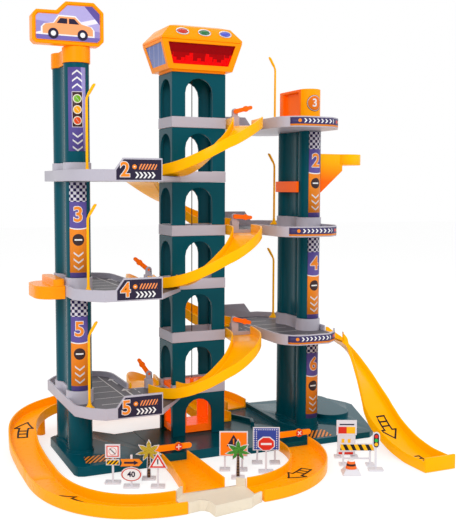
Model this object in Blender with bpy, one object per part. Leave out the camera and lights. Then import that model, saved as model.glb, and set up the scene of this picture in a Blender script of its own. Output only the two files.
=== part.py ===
# Toy parking garage: a lift tower between two columns, decks joined by curved ramps,
# a slide, and a track that runs round the base. All sizes are in metres, +Z is up.
# The origin is on the underside of the middle base plate, on the axis of the lift tower.

import math

import bmesh
import bpy
from mathutils import Matrix, Vector

# Fits
SEAT_GAP = 0.0003
SLIDE_FIT = 0.0015
PIN_FIT = 0.0003

# Base plates
BASE_TOP = 0.012
SIDE_PLATE_TOP = 0.008
LEFT_PLATE_FRONT = -0.0935
MIDDLE_PLATE_FRONT = -0.086
RIGHT_PLATE_FRONT = -0.094
KERB_RISE = 0.006
KERB_WALL = 0.005

# Lift tower
STOREY_PITCH = 0.070
RING_HEIGHT = 0.0137
RING_COUNT = 6
SHAFT_X = 0.034
SHAFT_Y = 0.022
TOWER_WALL = 0.0033
RING_PROUD = 0.0005
ARCH_FRONT = 0.019
ARCH_SIDE = 0.0185
ARCH_DROP = 0.007

# Decks
DECK_END = 0.180
DECK_SIDE = 0.107
DECK_NECK = 0.086
DECK_FLOOR = 0.0065
RIM_WALL = 0.0025
MOUTH_Y = 0.012
BOARD_RISE = 0.0135
BOARD_START = 0.138
BOARD_END = 0.080
EXIT_START = 0.0475
EXIT_END = 0.072

# Columns
COLUMN_X = 0.1621
LOBE_Y = 0.0292
LOBE_R = 0.0154
WEB_HALF = 0.0095
COLUMN_WALL = 0.002
COLLAR_PROUD = 0.0016
COLLAR_RISE = 0.009
TOP_COLLAR_RISE = 0.0015
TOP_COLUMN_RISE = 0.1275
CAP_HEIGHT = 0.019
CAP_ROOF = 0.002

# Ramps
RAMP_A = 0.081
RAMP_B = 0.1447
RAMP_WIDTH = 0.040
RAMP_X = 0.004
RAMP_Y = 0.022
RAMP_POWER = 2.2
RAMP_END_Y = 0.030
RAMP_FALL_START = 35.0
RAMP_FALL_END = 155.0
RAMP_STEPS = 20

# Channels of ramps, slide and tracks
WALL_HEIGHT = 0.0135
WALL_THICK = 0.0022
FLOOR_THICK = 0.0022
SLIDE_WIDTH = 0.045
SLIDE_TURN = 0.045
SLIDE_TURN_HEIGHTS = (0.123, 0.102, 0.077, 0.052, 0.034)
SLIDE_END_Y = -0.243
JUNCTION_FLOOR = 0.0026
JUNCTION_WALL = 0.0120
CURVE_WIDTH = 0.046
BRIDGE_WIDTH = 0.0355

# Lift car, its cord and winch
CAR_FLOOR_TOP = 0.0248
CAR_FLOOR_THICK = 0.0095
CAR_HEIGHT = 0.0550
CAR_WALL = 0.0025
CAR_ROOF = 0.003
CAR_ARCH_FRONT = 0.0155
CAR_ARCH_SIDE = 0.016
CAR_FOOT_R = 0.003
HOOK_R = 0.0025
HOOK_RISE = 0.004
CORD_R = 0.0006
DRUM_R = 0.010
DRUM_FLANGE_R = 0.0135
DRUM_HALF = 0.012
WINCH_SHAFT_R = 0.003
DRUM_CLEARANCE = 0.0015
CRANK_LENGTH = 0.016
CRANK_THICK = 0.004
CRANK_KNOB = 0.010

# Control cab on the tower
CAB_BASE_X = 0.0443
CAB_BASE_Y = 0.032
CAB_TOP_X = 0.0555
CAB_TOP_Y = 0.038
CAB_FOOT = 0.0027
CAB_HEIGHT = 0.036
CAB_FLOOR = 0.003
CAB_FRAME = 0.003
CAB_SILL = 0.0035
PANE = 0.0015
ROOF_X = 0.042
ROOF_Y = 0.030
ROOF_EAVE = 0.003
ROOF_SLOPE = 0.0147
ROOF_CROWN = 0.003
ROOF_SHELL = 0.0025

# Booth, sign board, landing pads
BOOTH_HEIGHT = 0.041
BOOTH_HALF_LENGTH = 0.042
BOOTH_HALF_WIDTH = 0.0152
BOOTH_RECESS = 0.005
SIGN_FRONT = -0.046
SIGN_BACK = -0.030
SIGN_FRAME = 0.004
SIGN_RECESS = 0.0012
PAD_RISE = 0.0382
PAD_THICK = 0.015
PAD_NECK_END = 0.2096
PAD_END = 0.249
PAD_HALF = 0.034
PAD_NECK_HALF = 0.029
CLIP_RISE = 0.0567
CLIP_HEIGHT = 0.015
CLIP_WALL = 0.0035
SHELF_REACH = 0.034
SHELF_HALF = 0.037
SHELF_THICK = 0.016
SHELF_DROP = 0.003
TAB_THICK = 0.0018
TAB_REACH = 0.006

# Street lamps
LAMP_R = 0.0016
LAMP_HEIGHT = 0.105
LAMP_BEND = 0.090
LAMP_LEAN = 0.010
LAMP_FOOT_R = 0.006
LAMP_Y = 0.075

# Gates
BOOM_THICK = 0.003
BOOM_HEIGHT = 0.005
PIN_R = 0.0015
LUG_R = 0.0042
LUG_THICK = 0.003
DECK_BOOM = 0.025
DECK_PIVOT_X = 0.0575
DECK_PIVOT_RISE = 0.0105
STAND_X = 0.054
STAND_WIDTH = 0.010
STAND_DEPTH = 0.008
STAND_RISE = 0.0045
BASE_BOOM = 0.045
BASE_PIVOT_Z = 0.0205
LEFT_PIVOT_X = -0.0805
RIGHT_PIVOT_X = 0.086

# Worked out from the sizes above
TOWER_X = SHAFT_X + TOWER_WALL
TOWER_Y = SHAFT_Y + TOWER_WALL
STOREY_HEIGHT = STOREY_PITCH - RING_HEIGHT
TOWER_TOP = BASE_TOP + RING_COUNT * STOREY_PITCH + STOREY_HEIGHT
CAP_BOTTOM = BASE_TOP + (RING_COUNT - 1) * STOREY_PITCH + TOP_COLUMN_RISE
CAP_TOP = CAP_BOTTOM + CAP_HEIGHT
CAB_BASE_Z = TOWER_TOP + CAB_FOOT
CAB_TOP_Z = CAB_BASE_Z + CAB_HEIGHT
CAB_EAVE_Z = CAB_TOP_Z + SEAT_GAP
ROOF_SHOULDER_Z = CAB_EAVE_Z + ROOF_EAVE + ROOF_SLOPE
ROOF_TOP_Z = ROOF_SHOULDER_Z + ROOF_CROWN
WINCH_Z = CAB_BASE_Z + CAB_FLOOR + DRUM_FLANGE_R + DRUM_CLEARANCE
CLIP_BOTTOM = BASE_TOP + 4 * STOREY_PITCH - RING_HEIGHT + CLIP_RISE
CLIP_TOP = CLIP_BOTTOM + CLIP_HEIGHT
PAD_BOTTOM = CLIP_BOTTOM + PAD_RISE
DRUM_X = -(DRUM_R + CORD_R + SEAT_GAP)
CAR_X = SHAFT_X - SLIDE_FIT
CAR_Y = SHAFT_Y - SLIDE_FIT
CAR_BOTTOM = CAR_FLOOR_TOP - CAR_FLOOR_THICK
CAR_TOP = CAR_FLOOR_TOP + CAR_HEIGHT

TEAL = (0.0, 0.115, 0.143)
GREY = (0.48, 0.44, 0.50)
YELLOW = (1.0, 0.50, 0.0)
ORANGE = (1.0, 0.36, 0.0)
RED_ORANGE = (1.0, 0.09, 0.0)
CREAM = (0.78, 0.72, 0.58)
RED_PANE = (0.45, 0.0, 0.0)
CORD_GREY = (0.1, 0.1, 0.1)


def ring_bottom(index):
    """Height of the underside of ring 1 (lowest) to RING_COUNT (highest)."""
    return BASE_TOP + index * STOREY_PITCH - RING_HEIGHT


# Mesh tools

def prism(outline, low, high):
    """A straight-sided block from an outline of (x, y) points."""
    bm = bmesh.new()
    bottom = [bm.verts.new((x, y, low)) for x, y in outline]
    top = [bm.verts.new((x, y, high)) for x, y in outline]
    bm.faces.new(bottom)
    bm.faces.new(top)
    count = len(outline)
    for i in range(count):
        j = (i + 1) % count
        bm.faces.new((bottom[i], bottom[j], top[j], top[i]))
    bmesh.ops.recalc_face_normals(bm, faces=bm.faces)
    return bm


def box(low, high):
    """A block between two corners."""
    outline = [(low[0], low[1]), (high[0], low[1]), (high[0], high[1]), (low[0], high[1])]
    return prism(outline, low[2], high[2])


def loft(rings, closed=False):
    """A skin through rings of points, capped at both ends unless it closes on itself."""
    bm = bmesh.new()
    rows = [[bm.verts.new(point) for point in ring] for ring in rings]
    size = len(rows[0])
    pairs = list(zip(rows, rows[1:]))
    if closed:
        pairs.append((rows[-1], rows[0]))
    else:
        bm.faces.new(rows[0])
        bm.faces.new(rows[-1])
    for row, following in pairs:
        for i in range(size):
            j = (i + 1) % size
            bm.faces.new((row[i], row[j], following[j], following[i]))
    bmesh.ops.recalc_face_normals(bm, faces=bm.faces)
    return bm


def turned(bm, matrix):
    """The same block moved or turned by a matrix."""
    bmesh.ops.transform(bm, matrix=matrix, verts=bm.verts)
    return bm


def along_y(bm):
    """Turns a block that was made along Z so that it runs along Y, its x and z kept."""
    return turned(bm, Matrix.Rotation(math.radians(90), 4, "X"))


def disc(x, y, radius, steps=16):
    """Outline of a circle."""
    turn = 2 * math.pi / steps
    return [(x + radius * math.cos(i * turn), y + radius * math.sin(i * turn)) for i in range(steps)]


def arc(x, y, radius, start, end, steps):
    """Points of an arc between two angles in degrees."""
    angles = [math.radians(start + (end - start) * i / steps) for i in range(steps + 1)]
    return [(x + radius * math.cos(a), y + radius * math.sin(a)) for a in angles]


def rounded(x0, y0, x1, y1, radius, steps=4):
    """Outline of a rectangle with round corners."""
    points = arc(x1 - radius, y0 + radius, radius, -90, 0, steps)
    points += arc(x1 - radius, y1 - radius, radius, 0, 90, steps)
    points += arc(x0 + radius, y1 - radius, radius, 90, 180, steps)
    points += arc(x0 + radius, y0 + radius, radius, 180, 270, steps)
    return points


def normals_of(points):
    """Unit mitre vectors on the left of an open line, each with its lengthening at the corner."""
    result = []
    for i, point in enumerate(points):
        before = Vector(points[max(i - 1, 0)][:2])
        here = Vector(point[:2])
        after = Vector(points[min(i + 1, len(points) - 1)][:2])
        first = (here - before) if i else (after - here)
        second = (after - here) if i < len(points) - 1 else first
        first = first.normalized()
        second = second.normalized()
        mean = (first + second).normalized()
        stretch = 1.0 / max(mean.dot(first), 0.5)
        result.append(Vector((-mean.y, mean.x)) * stretch)
    return result


def strip(points, width):
    """Outline of a wall of one thickness on the left of an open line."""
    inner = [(p[0] + n.x * width, p[1] + n.y * width) for p, n in zip(points, normals_of(points))]
    return list(points) + inner[::-1]


def smooth_line(points, steps):
    """A smooth curve through points of any dimension, with some steps in each span."""
    padded = [points[0]] + list(points) + [points[-1]]
    result = []
    for i in range(1, len(padded) - 2):
        p0, p1, p2, p3 = (Vector(p) for p in padded[i - 1:i + 3])
        for s in range(steps):
            t = s / steps
            result.append(0.5 * (2 * p1 + (p2 - p0) * t + (2 * p0 - 5 * p1 + 4 * p2 - p3) * t * t
                                 + (3 * p1 - p0 - 3 * p2 + p3) * t ** 3))
    result.append(Vector(points[-1]))
    return result


def channel(sections):
    """A U-shaped trough; each section is (left point, right point, height of its underside)."""
    rings = []
    for left, right, low in sections:
        a = Vector((left[0], left[1], 0))
        b = Vector((right[0], right[1], 0))
        across = (b - a).normalized() * WALL_THICK
        up = Vector((0, 0, 1))
        rings.append([
            a + up * low,
            b + up * low,
            b + up * (low + WALL_HEIGHT),
            b - across + up * (low + WALL_HEIGHT),
            b - across + up * (low + FLOOR_THICK),
            a + across + up * (low + FLOOR_THICK),
            a + across + up * (low + WALL_HEIGHT),
            a + up * (low + WALL_HEIGHT),
        ])
    return loft(rings)


def track(line, widths):
    """A trough along a centre line of (x, y, underside height)."""
    sections = []
    for point, normal, width in zip(line, normals_of(line), widths):
        centre = Vector(point[:2])
        sections.append((centre + normal * width / 2, centre - normal * width / 2, point[2]))
    return channel(sections)


def solve(base, adds=(), cuts=()):
    """The mesh of a block with others joined on and then cut away."""
    def helper(bm):
        mesh = bpy.data.meshes.new("helper")
        bm.to_mesh(mesh)
        bm.free()
        obj = bpy.data.objects.new("helper", mesh)
        bpy.context.scene.collection.objects.link(obj)
        return obj

    body = helper(base)
    helpers = [body]
    for blocks, operation in ((adds, "UNION"), (cuts, "DIFFERENCE")):
        for bm in blocks:
            other = helper(bm)
            other.hide_render = True
            other.display_type = "WIRE"
            helpers.append(other)
            modifier = body.modifiers.new(operation.lower(), "BOOLEAN")
            modifier.operation = operation
            modifier.solver = "EXACT"
            modifier.object = other
    graph = bpy.context.evaluated_depsgraph_get()
    mesh = bpy.data.meshes.new_from_object(body.evaluated_get(graph))
    for obj in helpers:
        bpy.data.objects.remove(obj)
    return mesh


def block_of(mesh):
    """A mesh turned back into a block, for more joining."""
    bm = bmesh.new()
    bm.from_mesh(mesh)
    bpy.data.meshes.remove(mesh)
    return bm


def material(name, colour, roughness):
    """One plain material, made once for each name."""
    found = bpy.data.materials.get(name)
    if found:
        return found
    made = bpy.data.materials.new(name)
    made.use_nodes = True
    shader = made.node_tree.nodes["Principled BSDF"]
    shader.inputs["Base Color"].default_value = (*colour, 1.0)
    shader.inputs["Roughness"].default_value = roughness
    return made


def place(name, shape, colour, roughness=0.3, at=(0, 0, 0), turn_z=0.0, turn_y=0.0):
    """Adds a named piece at its place; shape is a mesh or a block."""
    mesh = shape
    if isinstance(shape, bmesh.types.BMesh):
        mesh = bpy.data.meshes.new(name)
        shape.to_mesh(mesh)
        shape.free()
    mesh.shade_smooth()
    mesh.set_sharp_from_angle(angle=math.radians(30))
    if not mesh.materials:
        mesh.materials.append(material(name + "_plastic", colour, roughness))
    obj = bpy.data.objects.new(name, mesh)
    obj.location = at
    obj.rotation_euler = (0.0, turn_y, turn_z)
    bpy.context.scene.collection.objects.link(obj)
    return obj


# Lift tower

def arch(half, low, top):
    """Outline of an arched opening, as (across, up) points, open below."""
    spring = top - half
    return [(-half, low), (half, low)] + arc(0, spring, half, 0, 180, 8)


def storey(low, high):
    """One square storey of the tower, hollow, with an arch in each face."""
    margin = 0.01
    body = box((-TOWER_X, -TOWER_Y, low), (TOWER_X, TOWER_Y, high))
    shaft = box((-SHAFT_X, -SHAFT_Y, low - margin), (SHAFT_X, SHAFT_Y, high + margin))
    reach = TOWER_X + margin
    front = along_y(prism(arch(ARCH_FRONT, low - margin, high - ARCH_DROP), -reach, reach))
    side = along_y(prism(arch(ARCH_SIDE, low - margin, high - ARCH_DROP), -reach, reach))
    side = turned(side, Matrix.Rotation(math.radians(90), 4, "Z"))
    return solve(body, cuts=[shaft, front, side])


def build_tower():
    for index in range(RING_COUNT + 1):
        low = BASE_TOP + index * STOREY_PITCH + SEAT_GAP
        high = BASE_TOP + index * STOREY_PITCH + STOREY_HEIGHT
        if index < RING_COUNT:
            high -= SEAT_GAP
        place(f"tower_storey_{index + 1}", storey(low, high), TEAL)


# Columns

def column_outline(offset, steps=7):
    """Two round lobes joined by a narrower web, as seen from above."""
    radius = LOBE_R + offset
    half = WEB_HALF + offset
    meet = math.degrees(math.asin(half / radius))
    points = arc(0, -LOBE_Y, radius, 90 + meet, 450 - meet, 2 * steps)
    points += arc(0, LOBE_Y, radius, -90 + meet, 270 - meet, 2 * steps)
    return points


def column_length(low, high):
    """A hollow length of column, open at both ends."""
    outer = column_outline(0)
    inner = column_outline(-COLUMN_WALL)
    rings = []
    for outline, z in ((outer, low), (outer, high), (inner, high), (inner, low)):
        rings.append([(x, y, z) for x, y in outline])
    return loft(rings, closed=True)


def build_columns():
    left_decks = [1, 3, 5]
    right_decks = [2, 4, 6]
    cap_inside = CAP_TOP - CAP_ROOF - SEAT_GAP
    for side, sign, decks, top in (("left", -1, left_decks, cap_inside), ("right", 1, right_decks, None)):
        low = BASE_TOP + SEAT_GAP if sign < 0 else SIDE_PLATE_TOP + SEAT_GAP
        lengths = []
        for deck in decks:
            lengths.append((low, ring_bottom(deck) - SEAT_GAP))
            low = ring_bottom(deck) + RING_HEIGHT + COLLAR_RISE + SEAT_GAP
        if top:
            lengths.append((low, top))
        for number, (start, end) in enumerate(lengths, 1):
            piece = column_length(start, end)
            place(f"{side}_column_{number}", piece, TEAL, at=(sign * COLUMN_X, 0, 0))


def build_column_cap():
    """Orange cap that fits over the top of the left column."""
    body = prism(column_outline(COLLAR_PROUD), CAP_BOTTOM, CAP_TOP)
    pocket = prism(column_outline(SEAT_GAP), CAP_BOTTOM - 0.01, CAP_TOP - CAP_ROOF)
    place("left_column_cap", solve(body, cuts=[pocket]), ORANGE, at=(-COLUMN_X, 0, 0))


def build_booth():
    """Orange booth that stands on the collar of the top right deck."""
    low = ring_bottom(6) + RING_HEIGHT + TOP_COLLAR_RISE + SEAT_GAP
    high = low + BOOTH_HEIGHT
    straight = BOOTH_HALF_LENGTH - BOOTH_HALF_WIDTH
    outline = arc(0, -straight, BOOTH_HALF_WIDTH, 180, 360, 14)
    outline += arc(0, straight, BOOTH_HALF_WIDTH, 0, 180, 14)
    body = prism(outline, low, high)
    recess = box((-0.03, -0.024, low + 0.002), (-BOOTH_HALF_WIDTH + BOOTH_RECESS, 0.020, high - 0.004))
    hollow = box((-0.0085, -0.034, low - 0.01), (0.0115, 0.034, high - COLUMN_WALL))
    place("roof_booth", solve(body, cuts=[recess, hollow]), ORANGE, at=(COLUMN_X, 0, 0))


# Decks, drawn for the left side; the right ones are the same turned half round

def deck_outline():
    """Outer edge of a left deck, from the ramp landing clockwise round to the ramp mouth."""
    corner = 0.029
    points = [(-BOARD_END, -DECK_SIDE), (-DECK_END + corner, -DECK_SIDE)]
    points += [(-DECK_END + 0.013, -DECK_SIDE + 0.013), (-DECK_END, -DECK_SIDE + 0.034)]
    points += [(-DECK_END, DECK_SIDE - 0.034), (-DECK_END + 0.013, DECK_SIDE - 0.013)]
    points += [(-DECK_END + corner, DECK_SIDE), (-DECK_NECK - 0.032, DECK_SIDE)]
    points += arc(-DECK_NECK - 0.032, DECK_SIDE - 0.032, 0.032, 90, 0, 5)[1:]
    points += [(-DECK_NECK, MOUTH_Y)]
    return points


def deck(collar_rise, has_exit=False):
    """A deck: floor, rim, tower ring, column collar, sign board and gate stand."""
    ring_x = TOWER_X + RING_PROUD
    ring_y = TOWER_Y + RING_PROUD
    edge = deck_outline()
    landing = [(-0.0330, -ring_y - 0.0175), (-0.0310, 0.0), (-0.0310, MOUTH_Y)]
    floor = prism(edge + landing[::-1], 0, DECK_FLOOR)
    rim_line = [(x, y) for x, y in edge]
    rim = prism(strip(rim_line, -RIM_WALL), 0, RING_HEIGHT)
    ring = box((-ring_x, -ring_y, 0), (ring_x, ring_y, RING_HEIGHT))
    collar = prism(column_outline(COLLAR_PROUD), 0, RING_HEIGHT + collar_rise)
    collar = turned(collar, Matrix.Translation((-COLUMN_X, 0, 0)))
    top = RING_HEIGHT + BOARD_RISE
    slant = 0.010
    face = [(-BOARD_START, 0.0), (-BOARD_END, 0.0), (-BOARD_END, top), (-BOARD_START + slant, top),
            (-BOARD_START, RING_HEIGHT)]
    board = along_y(prism(face, DECK_SIDE - RIM_WALL, DECK_SIDE))
    stand_x = -STAND_X - STAND_WIDTH
    stand = box((stand_x, MOUTH_Y - STAND_DEPTH, 0), (-STAND_X, MOUTH_Y, RING_HEIGHT + STAND_RISE))
    pivot_z = RING_HEIGHT + DECK_PIVOT_RISE
    lug_line = arc(-DECK_PIVOT_X, pivot_z, LUG_R, 0, 180, 8)
    lug_line += [(-DECK_PIVOT_X - LUG_R, RING_HEIGHT), (-DECK_PIVOT_X + LUG_R, RING_HEIGHT)]
    lug_low = -MOUTH_Y
    lug = along_y(prism(lug_line, lug_low, lug_low + LUG_THICK))
    socket = prism(disc(-COLUMN_X, -LAMP_Y, LAMP_FOOT_R + 0.001, 12), 0, DECK_FLOOR + 0.0015)
    shaft = box((-SHAFT_X, -SHAFT_Y, -0.01), (SHAFT_X, SHAFT_Y, 0.05))
    door = box((-ring_x - 0.001, -ARCH_SIDE, DECK_FLOOR), (0, ARCH_SIDE, 0.05))
    pin_hole = along_y(prism(disc(-DECK_PIVOT_X, pivot_z, PIN_R + PIN_FIT, 10), -0.05, 0.05))
    cuts = [shaft, door, pin_hole]
    if has_exit:
        rim_inside = -DECK_END + RIM_WALL + 0.0002
        cuts.append(box((-DECK_END - 0.01, EXIT_START, DECK_FLOOR), (rim_inside, EXIT_END, 0.05)))
    return solve(floor, adds=[rim, ring, collar, board, stand, lug, socket], cuts=cuts)


def build_decks():
    plain = deck(COLLAR_RISE)
    shapes = {2: deck(COLLAR_RISE, has_exit=True), RING_COUNT: deck(TOP_COLLAR_RISE)}
    for index in range(1, RING_COUNT + 1):
        left = index % 2 == 1
        side = "left" if left else "right"
        mesh = shapes.get(index, plain)
        turn = 0.0 if left else math.pi
        place(f"{side}_deck_{(index + 1) // 2}", mesh, GREY, at=(0, 0, ring_bottom(index)), turn_z=turn)


# Ramps, drawn for the front, from a right deck down to the left deck below it

def ramp_curve(a, b, start_y, end_y, t):
    """A point of the round-cornered half turn, and its angle, at a share t of the way."""
    first = math.degrees(math.asin(((RAMP_Y + start_y) / b) ** (RAMP_POWER / 2)))
    last = 180 - math.degrees(math.asin(((RAMP_Y + end_y) / b) ** (RAMP_POWER / 2)))
    angle = math.radians(first + (last - first) * t)
    c = math.cos(angle)
    x = RAMP_X + a * math.copysign(abs(c) ** (2 / RAMP_POWER), c)
    y = RAMP_Y - b * math.sin(angle) ** (2 / RAMP_POWER)
    return (x, y), math.degrees(angle)


def ramp(drop):
    """A curved ramp whose underside starts at 0 and falls by drop."""
    sections = []
    for i in range(RAMP_STEPS + 1):
        t = i / RAMP_STEPS
        start_y = MOUTH_Y + SEAT_GAP
        outer, angle = ramp_curve(RAMP_A, RAMP_B, start_y, RAMP_END_Y, t)
        inner, _ = ramp_curve(RAMP_A - RAMP_WIDTH, RAMP_B - RAMP_WIDTH, start_y, RAMP_END_Y, t)
        u = (angle - RAMP_FALL_START) / (RAMP_FALL_END - RAMP_FALL_START)
        u = min(max(u, 0.0), 1.0)
        sections.append((outer, inner, -drop * u * u * (3 - 2 * u)))
    return channel(sections)


def build_ramps():
    landing = STOREY_PITCH - DECK_FLOOR - SEAT_GAP
    last_drop = ring_bottom(1) - SIDE_PLATE_TOP - SEAT_GAP
    mesh = solve(ramp(landing))
    last_mesh = solve(ramp(last_drop))
    for index in range(RING_COUNT, 0, -1):
        front = index % 2 == 0
        side = "front" if front else "back"
        turn = 0.0 if front else math.pi
        shape = mesh if index > 1 else last_mesh
        number = (RING_COUNT - index) // 2 + 1
        place(f"{side}_ramp_{number}", shape, YELLOW, at=(0, 0, ring_bottom(index)), turn_z=turn)


# Lift car, cord and winch

def build_lift():
    body = box((-CAR_X, -CAR_Y, CAR_BOTTOM), (CAR_X, CAR_Y, CAR_TOP))
    cabin = box((-CAR_X + CAR_WALL, -CAR_Y + CAR_WALL, CAR_FLOOR_TOP),
                (CAR_X - CAR_WALL, CAR_Y - CAR_WALL, CAR_TOP - CAR_ROOF))
    opening_top = CAR_TOP - CAR_ROOF - 0.010
    front = along_y(prism(arch(CAR_ARCH_FRONT, CAR_FLOOR_TOP, opening_top), -0.1, 0.1))
    side = along_y(prism(arch(CAR_ARCH_SIDE, CAR_FLOOR_TOP, opening_top), -0.1, 0.1))
    side = turned(side, Matrix.Rotation(math.radians(90), 4, "Z"))
    hook_top = CAR_TOP + HOOK_RISE
    adds = [prism(disc(0, 0, HOOK_R, 12), CAR_TOP - 0.001, hook_top)]
    inset = CAR_FOOT_R + 0.002
    for sx in (-1, 1):
        for sy in (-1, 1):
            foot = disc(sx * (CAR_X - inset), sy * (CAR_Y - inset), CAR_FOOT_R, 10)
            adds.append(prism(foot, BASE_TOP + SEAT_GAP, CAR_BOTTOM + 0.001))
    place("lift_car", solve(body, adds=adds, cuts=[cabin, front, side]), RED_ORANGE)

    cord = prism(disc(0, 0, CORD_R, 8), hook_top + SEAT_GAP, WINCH_Z)
    place("lift_cord", cord, CORD_GREY, 0.8)

    shaft_back = CAB_TOP_Y + 0.010
    turns = [
        (WINCH_SHAFT_R, -DRUM_HALF - 0.0055),
        (WINCH_SHAFT_R, -DRUM_HALF),
        (DRUM_FLANGE_R, -DRUM_HALF),
        (DRUM_FLANGE_R, -DRUM_HALF + 0.0015),
        (DRUM_R, -DRUM_HALF + 0.0015),
        (DRUM_R, DRUM_HALF - 0.0015),
        (DRUM_FLANGE_R, DRUM_HALF - 0.0015),
        (DRUM_FLANGE_R, DRUM_HALF),
        (WINCH_SHAFT_R, DRUM_HALF),
        (WINCH_SHAFT_R, shaft_back),
    ]
    rings = [[(x, z, -y) for x, z in disc(0, 0, radius)] for radius, y in turns]
    drum = along_y(loft(rings))
    arm = along_y(prism(rounded(-0.005, -0.005, 0.005, CRANK_LENGTH + 0.005, 0.0049), 0, CRANK_THICK))
    arm = turned(arm, Matrix.Translation((0, shaft_back, 0)))
    knob = along_y(prism(disc(0, CRANK_LENGTH, 0.004, 14), 0, CRANK_KNOB))
    knob = turned(knob, Matrix.Translation((0, shaft_back + CRANK_KNOB - 0.001, 0)))
    place("winch_drum", solve(drum, adds=[arm, knob]), ORANGE, at=(DRUM_X, 0, WINCH_Z))


# Control cab

def cab_ring(z, inset):
    """The cab's flared outline at a height, drawn in by an inset."""
    t = (z - CAB_BASE_Z) / (CAB_TOP_Z - CAB_BASE_Z)
    x = CAB_BASE_X + (CAB_TOP_X - CAB_BASE_X) * t - inset
    y = CAB_BASE_Y + (CAB_TOP_Y - CAB_BASE_Y) * t - inset
    return [(-x, -y, z), (x, -y, z), (x, y, z), (-x, y, z)]


def build_cab():
    body = loft([cab_ring(CAB_BASE_Z, 0), cab_ring(CAB_TOP_Z, 0)])
    foot = box((-TOWER_X, -TOWER_Y, TOWER_TOP + SEAT_GAP), (TOWER_X, TOWER_Y, CAB_BASE_Z + 0.001))
    floor_top = CAB_BASE_Z + CAB_FLOOR
    room = loft([cab_ring(floor_top, CAB_FRAME), cab_ring(CAB_TOP_Z + 0.01, CAB_FRAME)])
    sill = floor_top + CAB_SILL
    head = CAB_TOP_Z - CAB_SILL
    cuts = [room]
    for across, ring_index in ((CAB_BASE_X, 0), (CAB_BASE_Y, 1)):
        low_half = across - 0.006
        flare = (CAB_TOP_X - CAB_BASE_X) if ring_index == 0 else (CAB_TOP_Y - CAB_BASE_Y)
        high_half = low_half + flare * (head - sill) / (CAB_TOP_Z - CAB_BASE_Z)
        face = [(-low_half, sill), (low_half, sill), (high_half, head), (-high_half, head)]
        window = along_y(prism(face, -0.1, 0.1))
        if ring_index:
            window = turned(window, Matrix.Rotation(math.radians(90), 4, "Z"))
        cuts.append(window)
    cuts.append(prism(disc(0, 0, 0.004, 12), TOWER_TOP - 0.01, CAB_TOP_Z))
    ears = []
    ear_inner = DRUM_HALF + 0.0006
    for sign in (-1, 1):
        low_y = min(sign * ear_inner, sign * (ear_inner + 0.003))
        ear = box((DRUM_X - 0.007, low_y, CAB_BASE_Z + 0.001),
                  (DRUM_X + 0.007, low_y + 0.003, WINCH_Z + 0.006))
        hole = along_y(prism(disc(DRUM_X, WINCH_Z, WINCH_SHAFT_R + PIN_FIT), -0.03, 0.03))
        ears.append(block_of(solve(ear, cuts=[hole])))
    shell = block_of(solve(body, adds=[foot], cuts=cuts))
    place("cab_body", solve(shell, adds=ears), ORANGE)

    low = floor_top + SEAT_GAP
    high = CAB_TOP_Z - SEAT_GAP
    outer = CAB_FRAME + SEAT_GAP
    pane_rings = [cab_ring(low, outer), cab_ring(high, outer),
                  cab_ring(high, outer + PANE), cab_ring(low, outer + PANE)]
    panes = loft(pane_rings, closed=True)
    shaft_hole = along_y(prism(disc(DRUM_X, WINCH_Z, WINCH_SHAFT_R + PIN_FIT), -0.1, 0.0))
    place("cab_glazing", solve(panes, cuts=[shaft_hole]), RED_PANE, 0.1)

    def roof_ring(x, y, z):
        return [(-x, -y, z), (x, -y, z), (x, y, z), (-x, y, z)]

    roof = loft([
        roof_ring(CAB_TOP_X, CAB_TOP_Y, CAB_EAVE_Z),
        roof_ring(CAB_TOP_X, CAB_TOP_Y, CAB_EAVE_Z + ROOF_EAVE),
        roof_ring(ROOF_X, ROOF_Y, ROOF_SHOULDER_Z),
        roof_ring(ROOF_X - 0.012, ROOF_Y - 0.010, ROOF_TOP_Z),
    ])
    inside = loft([
        roof_ring(CAB_TOP_X - CAB_FRAME, CAB_TOP_Y - CAB_FRAME, CAB_EAVE_Z - 0.005),
        roof_ring(CAB_TOP_X - CAB_FRAME, CAB_TOP_Y - CAB_FRAME, CAB_EAVE_Z + ROOF_EAVE - 0.001),
        roof_ring(ROOF_X - ROOF_SHELL, ROOF_Y - ROOF_SHELL, ROOF_SHOULDER_Z - ROOF_SHELL),
    ])
    place("cab_roof", solve(roof, cuts=[inside]), ORANGE)


# Sign board, helicopter pad and shelf

def build_sign_board():
    shape = [(-0.0519, 0), (0.0241, 0), (0.0301, 0.0062), (0.0301, 0.0402), (0.0181, 0.0512),
             (-0.0159, 0.0502), (-0.0269, 0.0392), (-0.0509, 0.0387), (-0.0559, 0.0322), (-0.0559, 0.0042)]
    outline = [(x - COLUMN_X, CAP_TOP + SEAT_GAP + z) for x, z in shape]
    body = along_y(prism(outline, -SIGN_BACK, -SIGN_FRONT))
    closed = outline + outline[:2]
    inner = [(p[0] + n.x * SIGN_FRAME, p[1] + n.y * SIGN_FRAME) for p, n in zip(closed, normals_of(closed))]
    face = inner[1:-1]
    recess = along_y(prism(face, -SIGN_FRONT - SIGN_RECESS, -SIGN_FRONT + 0.01))
    place("sign_board", solve(body, cuts=[recess]), ORANGE)


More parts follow.
